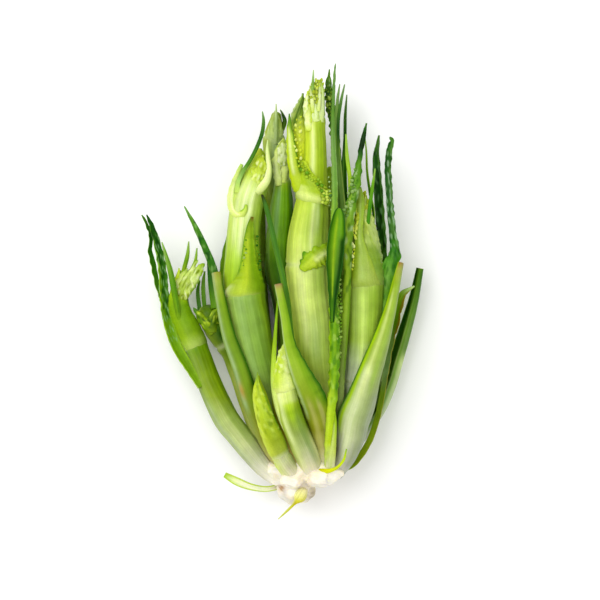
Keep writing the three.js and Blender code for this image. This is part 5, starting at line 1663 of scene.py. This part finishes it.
leaf(
    "tall_middle_leaf", face=(-0.2, 0, 0.95), curl=50, thick=(1.2, 0.5),
    rows=[
        [31.5, 163, 45, 1.8], [29.5, 183, 45, 2.2], [27.4, 205, 45.5, 1.8], [25.8, 227, 46.5, 1.2],
        [25.6, 245, 46.5, 1.1], [27.2, 258, 46, 1.1], [29.8, 270.5, 45, 0.4],
    ],
    inner=[
        (0, "#6f9438"), (0.4, "#7fa450"), (0.6, "#5c8434"), (0.7, "#2f5410"), (0.85, "#4f7834"),
        (1, "#6f9054"),
    ],
    inner_bands=[(0.8, 0.25, "#b4cc6c", 0.8, 0.1, 0.6)],
)
leaf(
    "tall_side_leaf", face=(-0.5, 0, 0.85), curl=50, thick=(1.3, 0.5),
    rows=[
        [33, 167, 41, 2.4], [31, 180, 38.5, 3.2], [29.8, 196, 37.5, 3.2], [29.8, 214, 38, 2.3],
        [30.3, 233, 38, 1.4], [30.5, 250, 38, 1.2], [31.4, 264, 37, 0.4],
    ],
    inner=[(0, "#3a6410"), (0.5, "#3f6c14"), (0.7, "#2f5414"), (0.9, "#4f7438"), (1, "#6f8c54")],
    inner_bands=[(-0.3, 0.25, "#6f9c38", 0.6, 0, 0.6)],
)
leaf(
    "tall_thin_sliver", face=(-0.2, 0, 0.95), thick=(1, 0.5),
    rows=[
        [25, 224, 42, 1.4], [24.3, 238, 43, 1.3], [24.4, 250, 43, 1.2], [25.2, 261, 42, 1],
        [26.6, 271, 41, 0.3],
    ],
    inner=[(0, "#6f9c3c"), (0.6, "#7fa450"), (1, "#93b074")],
)
leaf(
    "pale_thin_leaf", face=(-0.2, 0, 0.95), thick=(1.3, 0.6),
    rows=[
        [34.3, 181, 52.5, 1.5], [33.7, 193, 53, 1.6], [33.3, 207, 53, 1.4], [31.4, 222, 52, 1.2],
        [30.6, 237, 51, 0.5],
    ],
    outer=SPRING,
    inner=[(0, "#a3bc2c"), (0.4, "#a3c434"), (1, "#93b84c")],
)
leaf(
    "folded_front_leaf", face=(0.5, 0, -0.85), curl=55, thick=(1.8, 0.6),
    rows=[
        [24.5, 40, 51, 2.2], [26, 60, 54, 2.8], [27, 80, 56, 3], [28.6, 103, 58, 3.2], [30, 127, 60, 3.4],
        [30.8, 150, 61, 3.3], [31.4, 173, 62, 3.5], [33.3, 191, 62, 3.9], [36.2, 205, 61, 3.9],
        [38.4, 216, 59, 2.4], [39.6, 224, 58, 1.8], [41.6, 234, 57.4, 1.9], [44, 244, 56, 0.5],
    ],
    outer=[
        (0, "#a5b86c"), (0.25, "#86a048"), (0.5, "#93b434"), (0.62, "#8fb43c"), (0.72, "#76a040"),
        (0.86, "#5c8c2c"), (0.89, "#3f6a1c"), (0.92, "#1c380a"), (0.97, "#24480c"), (1, "#4f7c30"),
    ],
    wave=(0.5, 9), wavy=(0.6, 0.9), teeth=(0.12, 9), crinkle=0.15,
    bands=[
        (0.1, 0.4, "#a9cc40", 0.6, 0.35, 0.75), (-0.85, 0.25, "#5c8418", 0.7, 0.2, 0.8),
        (0.9, 0.15, "#3f6c10", 0.7, 0.3, 0.75),
    ],
    blots=[(5, "#c3d8a4", 0.5, 0.55, 0.84), (5, "#2f6010", 0.6, 0.45, 0.86)],
)
leaf(
    "right_thin_leaf", face=(-0.8, 0, 0.4), thick=(1.3, 0.6),
    rows=[
        [43.5, 160, 44, 0.9], [48, 171, 45, 1.4], [49.4, 184, 46, 1.6], [47, 198, 47, 1.6],
        [45, 212, 47, 1.3], [44.4, 225, 46.5, 1], [43.4, 235, 46, 0.4],
    ],
    outer=SPRING,
    inner=[(0, "#4f8024"), (0.5, "#3f7c14"), (0.8, "#7fae34"), (1, "#a5cc54")],
)
leaf(
    "right_short_leaf", face=(-0.3, 0, -0.9), thick=(1.2, 0.5),
    rows=[
        [43.6, 163, 49, 0.8], [44.8, 173, 52.5, 1.2], [46.3, 187, 54, 1.3], [48, 200, 53, 1.2],
        [50, 214, 51.5, 0.4],
    ],
    outer=[(0, "#4f8c10"), (0.5, "#4f8c10"), (0.8, "#6fa42c"), (1, "#93bc54")],
)
leaf(
    "right_dark_leaf", face=(-0.4, 0, 0.9), curl=50, thick=(1.8, 0.6),
    rows=[
        [50, 98, 20, 2], [53, 111, 24, 2.8], [55.4, 127, 29, 3.4], [56.2, 145, 32, 3.6],
        [55.4, 165, 35, 3.6], [53.8, 187, 36.5, 3.6], [52.2, 207, 37, 3.4], [51.4, 223, 36, 2.4],
        [53, 237, 34, 0.6],
    ],
    inner=[
        (0, "#3a6414"), (0.3, "#4f7c10"), (0.42, "#5f8c14"), (0.52, "#2f5410"), (0.8, "#28500f"),
        (0.93, "#3f6c18"), (1, "#4f7424"),
    ],
    wave=(0.25, 11), right=("#5c843c", 0.8), left=("#1c3c08", 0.8),
    inner_bands=[(0.8, 0.3, "#5f8c48", 0.7, 0.3, 1)],
    blots=[(5, "#0f2c04", 0.8, 0.4, 0.95), (4.4, "#6f9468", 0.6, 0.4, 0.95)],
)
leaf(
    "right_bladed_leaf", face=(-0.35, 0, 0.92), thick=(1.6, 0.6),
    rows=[
        [47.5, 92, 52, 1.6], [51.5, 104, 51.5, 3.4], [55, 118, 50.5, 5], [58, 134, 49, 6.4],
        [60.6, 147, 49.5, 6.6], [63.4, 158, 50, 4.2], [62.6, 166, 50, 2.8], [60.8, 182, 49.5, 2.6],
        [59.2, 205, 49.5, 2.5], [58.8, 218, 50, 2.4], [60, 228, 51, 2], [61.4, 232.5, 51, 1.5],
        [59.6, 235, 50.5, 0.5],
    ],
    inner=[
        (0, "#5c9424"), (0.2, "#669c2c"), (0.3, "#5f9428"), (0.42, "#5c9438"), (0.5, "#3f7c14"),
        (0.56, "#4f783c"), (0.75, "#3f682c"), (0.9, "#335c1c"), (1, "#4f8428"),
    ],
    wave=(0.7, 11), wavy=(0.12, 0.46), crinkle=0.45,
    inner_bands=[
        (0.75, 0.3, "#6f9858", 0.7, 0.5, 0.95), (-0.8, 0.3, "#2a5414", 0.8, 0.5, 0.95),
        (-0.2, 0.3, "#86b454", 0.6, 0.3, 0.38), (0.4, 0.3, "#2f640c", 0.7, 0.4, 0.46),
        (0.2, 0.4, "#86ac50", 0.6, 0.12, 0.22), (0.8, 0.2, "#3f7414", 0.7, 0.1, 0.45),
    ],
    blots=[
        (5, "#1f4410", 0.7, 0.46, 0.97), (4.4, "#93b08c", 0.6, 0.5, 0.9), (5, "#2f640c", 0.6, 0.1, 0.46),
    ],
)
leaf(
    "ragged_side_leaf", face=(-0.5, 0, 0.85), curl=35, thin_from=2.5,
    rows=[
        [27, 12, 39, 1.6], [37, 18, 37, 2.1], [46, 31, 37, 2.2], [51.5, 46, 37, 2.1], [55, 62, 37.5, 2],
        [57.8, 79, 38, 2], [60.3, 97, 39, 2.6], [63.4, 112, 40, 3.6], [65.6, 124, 41, 3.8],
        [70, 131.5, 41.5, 1.8], [76.4, 136, 41.5, 0.4],
    ],
    outer=SPRING,
    inner=[
        (0, "#8fa41c"), (0.25, "#8aa424"), (0.45, "#7f9c34"), (0.55, "#86a468"), (0.7, "#7fa050"),
        (0.78, "#6f9c1c"), (0.86, "#7fac0c"), (0.93, "#8fb43c"), (1, "#c3dc94"),
    ],
    teeth=(0.35, 14), wavy=(0.6, 1), crinkle=0.1, right=("#a8742c", 0.6),
    inner_bands=[(0.9, 0.2, "#9c6a34", 0.8, 0.74, 0.95)],
)
leaf(
    "cup_left_leaflet", face=(0, 0, 1), curl=35, thick=(1.2, 0.6),
    rows=[[-66.5, 112, 26, 1.2], [-67.6, 121, 25, 1.4], [-68.8, 132, 24, 1.2], [-67.6, 140, 23.5, 0.5]],
    inner=[(0, "#3a6414"), (1, "#5f9424")],
)
leaf(
    "cup_middle_leaflet", face=(0, 0, 1), curl=35, thick=(1.2, 0.6),
    rows=[[-63, 115, 28, 1.2], [-64.4, 125, 28, 1.4], [-65, 137, 28.5, 1.3], [-64, 146, 28.5, 0.5]],
    inner=[(0, "#4f7c1c"), (1, "#6f9c34")],
)
leaf(
    "cup_right_leaflet", face=(0, 0, 1), curl=45,
    rows=[[-57.6, 121, 33, 2], [-59.4, 137, 33, 2.2], [-62, 157, 33, 0.6]],
    inner=[(0, "#6f9c2c"), (0.5, "#3f701c"), (1, "#2a4f10")],
)
leaf(
    "far_left_top_leaflet", face=(0, 0, -1), thick=(1.2, 0.6),
    rows=[[-79.5, 139, 30.5, 1.4], [-77.6, 148, 31.5, 1.5], [-75.4, 157, 32, 1.3], [-74.6, 166, 31.5, 0.4]],
    outer=[(0, "#b4cc3c"), (0.5, "#6f9c10"), (1, "#93b45c")],
)
leaf(
    "far_left_side_leaflet", face=(-0.3, 0, -0.9), thick=(1.2, 0.6),
    rows=[[-77.5, 138, 31, 1.2], [-73, 146, 33, 1.3], [-70, 153, 34, 1.1], [-69, 161.5, 34, 0.4]],
    outer=[(0, "#a9c43c"), (0.5, "#8fb02c"), (1, "#86b04c")],
)
leaf(
    "main_shoot_tip_leaflet", face=(0, 0, -1), thick=(1.2, 0.6),
    rows=[[8.2, 258, 47.5, 1.4], [8.4, 267, 48.5, 1.2], [9, 280, 48, 0.4]],
    outer=[(0, "#d4e6b0"), (0.3, "#93b85c"), (0.6, "#7fa44c"), (1, "#a9c48c")],
)
for name, rows in (
    ("under_left_leaf", [
        [-32.5, 70, 8, 2.4], [-38, 84, 4.5, 3.4], [-44, 98, 2.2, 4.4], [-49, 116, 1.8, 5.4],
        [-50, 137, 2, 5.6], [-48, 160, 3, 4.6], [-44, 185, 6, 1],
    ]),
    ("under_long_leaf", [
        [12, 163, 10, 2.4], [8, 176, 9.5, 3.4], [6, 195, 11, 4.6], [6, 215, 14, 4.6], [7, 233, 19, 3],
        [8, 250, 25, 0.8],
    ]),
):
    leaf(
        name, rows=rows, face=(0, 0, 1), curl=35, inner=SPRING, wave=(0.3, 12), rib=(0.2, 0.2),
        rib_colour="#a5c45c",
    )
leaf(
    "base_stub_leaf", face=(0, -0.2, 1), curl=50, thick=(1.8, 0.8),
    rows=[
        [-14, 1.5, 30, 2], [-23, 0, 30, 2], [-33, 1.5, 30, 2.4], [-42, 5, 30, 2.9], [-50.5, 9.5, 30, 1.9],
    ],
    outer=[(0, "#d9cfae"), (0.4, "#e4e6b4"), (1, "#a9cc34")],
    inner=[(0, "#cfc6a8"), (0.3, "#eef0cc"), (0.6, "#f0f2cc"), (0.85, "#d9e69c"), (1, "#a3c824")],
    edge="#bcd24c", edge_from=0.7,
)
leaf(
    "base_yellow_leaflet", face=(0, -0.3, -1), thick=(1.6, 0.8),
    rows=[
        [12.5, 14, 55, 1], [15.5, 13.4, 57, 1.7], [20, 13.8, 59, 1.3], [25, 16.2, 60, 0.95],
        [29, 21, 60, 0.75], [30.8, 28, 59, 0.4],
    ],
    outer=[(0, "#cfc41c"), (0.25, "#dcdc18"), (0.6, "#c9da24"), (0.9, "#a9c824"), (1, "#7fac1c")],
    inner=[(0, "#dcd40c"), (1, "#c4dc4c")],
)
leaf(
    "front_long_sliver", face=(0.4, 0, -0.9),
    rows=[
        [-7.6, 36, 62.5, 1.4], [-12.4, 48, 66.5, 2.2], [-15.6, 60, 68.5, 2.6], [-17.4, 72, 69, 2.4],
        [-17.6, 86, 68, 1.8], [-16.8, 100, 66, 1.4], [-14.8, 127, 62, 0.4],
    ],
    outer=[(0, "#d4e08c"), (0.3, "#cfe07c"), (0.5, "#b4d048"), (0.7, "#98bc2c"), (1, "#7fac18")],
    inner=FRESH,
)

# Buds at the tips, and crumbs along frilled edges, whose pale crumbs are painted glints and dark crumbs
# painted shade on the crinkles.
buds(
    "main_tip_buds",
    rows=[[9, 257, 44, 6], [9.8, 262, 44, 5.5], [11, 267, 43, 4.4], [12.4, 272.5, 42, 2.4]], spacing=2,
    size=1.5, colours=("#dfea84", "#c3d644", "#98a828"), slenderness=0.75, lean=0.75,
)
buds(
    "right_shoot_buds",
    rows=[[41.3, 186, 47, 4.4], [41.2, 193, 46.5, 2.8], [41, 199, 46, 1.2]], spacing=2.2, size=1.6,
    colours=("#dfe87c", "#cfdc44", "#b4c42c"), slenderness=0.75,
)
buds(
    "right_shoot_pods",
    rows=[[35.6, 167, 57.5, 1.3], [36, 176, 56.5, 1.5], [37, 187, 54.5, 1.2]], spacing=2.8, size=3,
    colours=("#dfe874", "#c0d02c", "#a9bc20"), slenderness=0.45, lean=0.95,
)
buds(
    "right_shoot_low_beads",
    rows=[[34, 146, 59.4, 0.8], [34.4, 154, 59, 1], [35, 163, 58.2, 0.9]], spacing=1.7, size=1.3,
    colours=("#d4df4c", "#bcd028", "#dfe89c"), slenderness=0.7, lean=0.85,
)
buds(
    "collar_frill",
    rows=[
        [-1.4, 220, 54, 0.8], [2, 214.6, 56, 1.2], [5.5, 209.8, 57.8, 1.3], [10, 206.4, 58.6, 1.3],
        [13.6, 202.4, 58, 1.4], [17, 196, 56, 1.6],
    ],
    spacing=1.9, size=1.15, colours=("#98b434", "#a9c640", "#5c9420"), arc=(0, 180), slenderness=1.1,
    lean=0.2,
)
buds(
    "collar_lump",
    rows=[[15.6, 191, 55.6, 2.4], [16.6, 196, 55.8, 2.6], [16.4, 200, 56, 1.8]], spacing=1.8, size=1.4,
    colours=("#bcd058", "#c3d85c", "#8fac2c"), arc=(0, 180), slenderness=1.1, lean=0.2,
)
buds(
    "side_bract_crumbs",
    rows=[
        [0.5, 210, 52.4, 1.8], [-1.2, 219, 53.4, 2], [-1.8, 230, 53.4, 2], [-1.6, 241, 52, 1.6],
        [-0.6, 249, 50.2, 1],
    ],
    spacing=2.7, size=1.25, colours=("#d4df4c", "#c3d42c", "#dfe88c"), arc=(20, 160), slenderness=0.8,
)
buds(
    "left_bract_frill",
    rows=[
        [-38.8, 147, 58.4, 0.5], [-37.4, 156, 58.4, 0.6], [-35.8, 164, 57.8, 0.6], [-34, 171.5, 57.2, 0.4],
    ],
    spacing=1.8, size=1, colours=("#7fa41c", "#4f8c14", "#a9c46c"), arc=(0, 180), slenderness=0.85,
    lean=0.3,
)
buds(
    "left_bract_right_frill",
    rows=[[-27.2, 146, 54.2, 0.4], [-28, 158, 54.6, 0.5], [-29.4, 170, 54.4, 0.4]], spacing=2, size=0.9,
    colours=("#4f8414", "#76a41c", "#2f6408"), arc=(0, 180), slenderness=0.85, lean=0.3,
)
buds(
    "long_leaf_frill",
    rows=[
        [24.4, 84, 64.6, 0.8], [24.8, 98, 65, 1.2], [25, 112, 65, 1.5], [24.8, 128, 65, 1.5],
        [24.4, 140, 64.4, 0.9],
    ],
    spacing=2, size=1.2, colours=("#4f7c14", "#76a02c", "#8fac54"), arc=(0, 180), slenderness=0.9,
    lean=0.3,
)
buds(
    "folded_leaf_frill",
    rows=[[30, 182, 62, 0.9], [32.8, 193, 62.8, 1.2], [35.6, 204, 62, 1.2], [37.8, 213.5, 60, 0.7]],
    spacing=2.1, size=1.2, colours=("#4f8020", "#6f9c38", "#93b06c"), arc=(0, 180), slenderness=0.9,
    lean=0.3,
)
buds(
    "tall_leaf_frill",
    rows=[[20, 186, 59.4, 0.6], [19, 196, 59, 0.7], [18.2, 208, 56.4, 0.6]], spacing=3, size=1,
    colours=("#7fa450", "#b4cc94", "#3f6c20"), arc=(0, 180), slenderness=0.85, lean=0.4,
)
buds(
    "tall_leaf_crumbs",
    rows=[[21, 249, 41, 1.6], [20, 256, 40.5, 2], [19.2, 264, 40, 1.8], [19.2, 271, 39.5, 0.9]],
    spacing=2.2, size=1.6, colours=("#7f9c34", "#3f6410", "#98b04c"), slenderness=0.7, lean=0.8,
)

crown(
    lobes=[
        (1, 15, 33, 20, 13, 22), (13.5, 8.5, 50.5, 10, 7, 9), (13, 12.5, 42, 12, 11.5, 13),
        (-12, 12, 37, 12, 10, 13), (12, 14, 19, 15, 10, 13), (-2.5, 0.6, 32, 13, 11.5, 14),
        (-10, 9.5, 41, 8.5, 7.5, 9), (22, 9.5, 48, 7.5, 6.5, 9), (-17, 11, 34, 8, 7, 9),
        (-6, 7, 48.5, 8, 6, 8.5),
    ],
    cuts=[
        ((22.5, 3.6, 44), (0.65, -0.75, 0.1), 60), ((10.4, -4.6, 34), (0.62, -0.78, 0), 60),
        ((-3, -9.8, 33), (0.12, -0.97, 0.1), 60), ((-15.6, -4, 32), (-0.8, -0.55, 0.2), 60),
        ((14, 2.8, 50), (0.05, -0.95, 0.25), 11), ((13.5, 7, 57.8), (0.1, -0.3, 0.95), 11),
        ((23, 8, 53.4), (0.45, -0.3, 0.85), 8), ((-7, 2.4, 48), (-0.3, -0.9, 0.3), 8),
        ((-6, 6, 55.4), (-0.2, -0.4, 0.9), 8), ((-14, 8, 45), (-0.5, -0.4, 0.8), 9),
        ((3, -4, 42.6), (0.3, -0.3, 0.9), 10),
    ],
    bruises=[
        ((-12.5, 1.2, 42), 2.4, "#a9783c", 0.95), ((-10, -2, 43), 2, "#8c7c6c", 0.4),
        ((9.4, -2, 38), 3.4, "#a39678", 0.8), ((6, 4, 48), 1.6, "#c9b490", 0.6),
        ((7.5, -6, 38), 2.2, "#8c8068", 0.6), ((-12, -6, 36), 4, "#dcdad4", 0.6),
        ((-16, 9, 42), 3, "#d9c9a0", 0.5), ((19.5, 6, 48), 3, "#dcdcd0", 0.6),
    ],
)


# --- floor, light and camera --------------------------------------------------


def studio():
    """A plain pale floor, a big soft light from the upper left, a weaker one from the right, and a sky."""
    reach = 3.0  # metres from the head to the floor's edge
    corners = [(-reach, -reach, 0), (reach, -reach, 0), (reach, reach, 0), (-reach, reach, 0)]
    floor_mesh = bpy.data.meshes.new("floor")
    floor_mesh.from_pydata(corners, [], [(0, 1, 2, 3)])
    floor = bpy.data.objects.new("floor", floor_mesh)
    bpy.context.scene.collection.objects.link(floor)
    card = bpy.data.materials.new("matte_white_card")
    card.use_nodes = True
    shader = card.node_tree.nodes["Principled BSDF"]
    shader.inputs["Base Color"].default_value = (0.93, 0.93, 0.92, 1)
    shader.inputs["Roughness"].default_value = 0.9
    floor_mesh.materials.append(card)
    for name, place, size, power in (
        ("window", (-0.5, 0.35, 1.35), 1.0, 13),
        ("reflector", (0.6, -0.1, 1.3), 1.0, 3),
    ):
        light = bpy.data.lights.new(name, "AREA")
        light.size = size
        light.energy = power
        lamp = bpy.data.objects.new(name, light)
        lamp.location = place
        aim = np.array(place) / np.linalg.norm(place)
        lamp.rotation_euler = (math.acos(aim[2]), 0, math.atan2(aim[0], -aim[1]))
        bpy.context.scene.collection.objects.link(lamp)
    world = bpy.data.worlds.new("soft_sky")
    world.use_nodes = True
    world.node_tree.nodes["Background"].inputs["Color"].default_value = (1, 1, 1, 1)
    world.node_tree.nodes["Background"].inputs["Strength"].default_value = 0.8
    bpy.context.scene.world = world
    bpy.context.scene.view_settings.view_transform = "Standard"


def look_down():
    """The camera hangs over the head and looks straight down, with the tips at the top."""
    lens = bpy.data.cameras.new("camera")
    height = 2.2  # metres over the head
    middle = (11.6, -5.3, 45.0)  # millimetres from the frame's origin to what it looks at
    shown = 400.0  # millimetres across the view
    lens.lens = lens.sensor_width * height / (shown * MM)
    camera = bpy.data.objects.new("camera", lens)
    camera.location = (middle[0] * MM, middle[1] * MM, middle[2] * MM + height)
    bpy.context.scene.collection.objects.link(camera)
    bpy.context.scene.camera = camera


studio()
look_down()
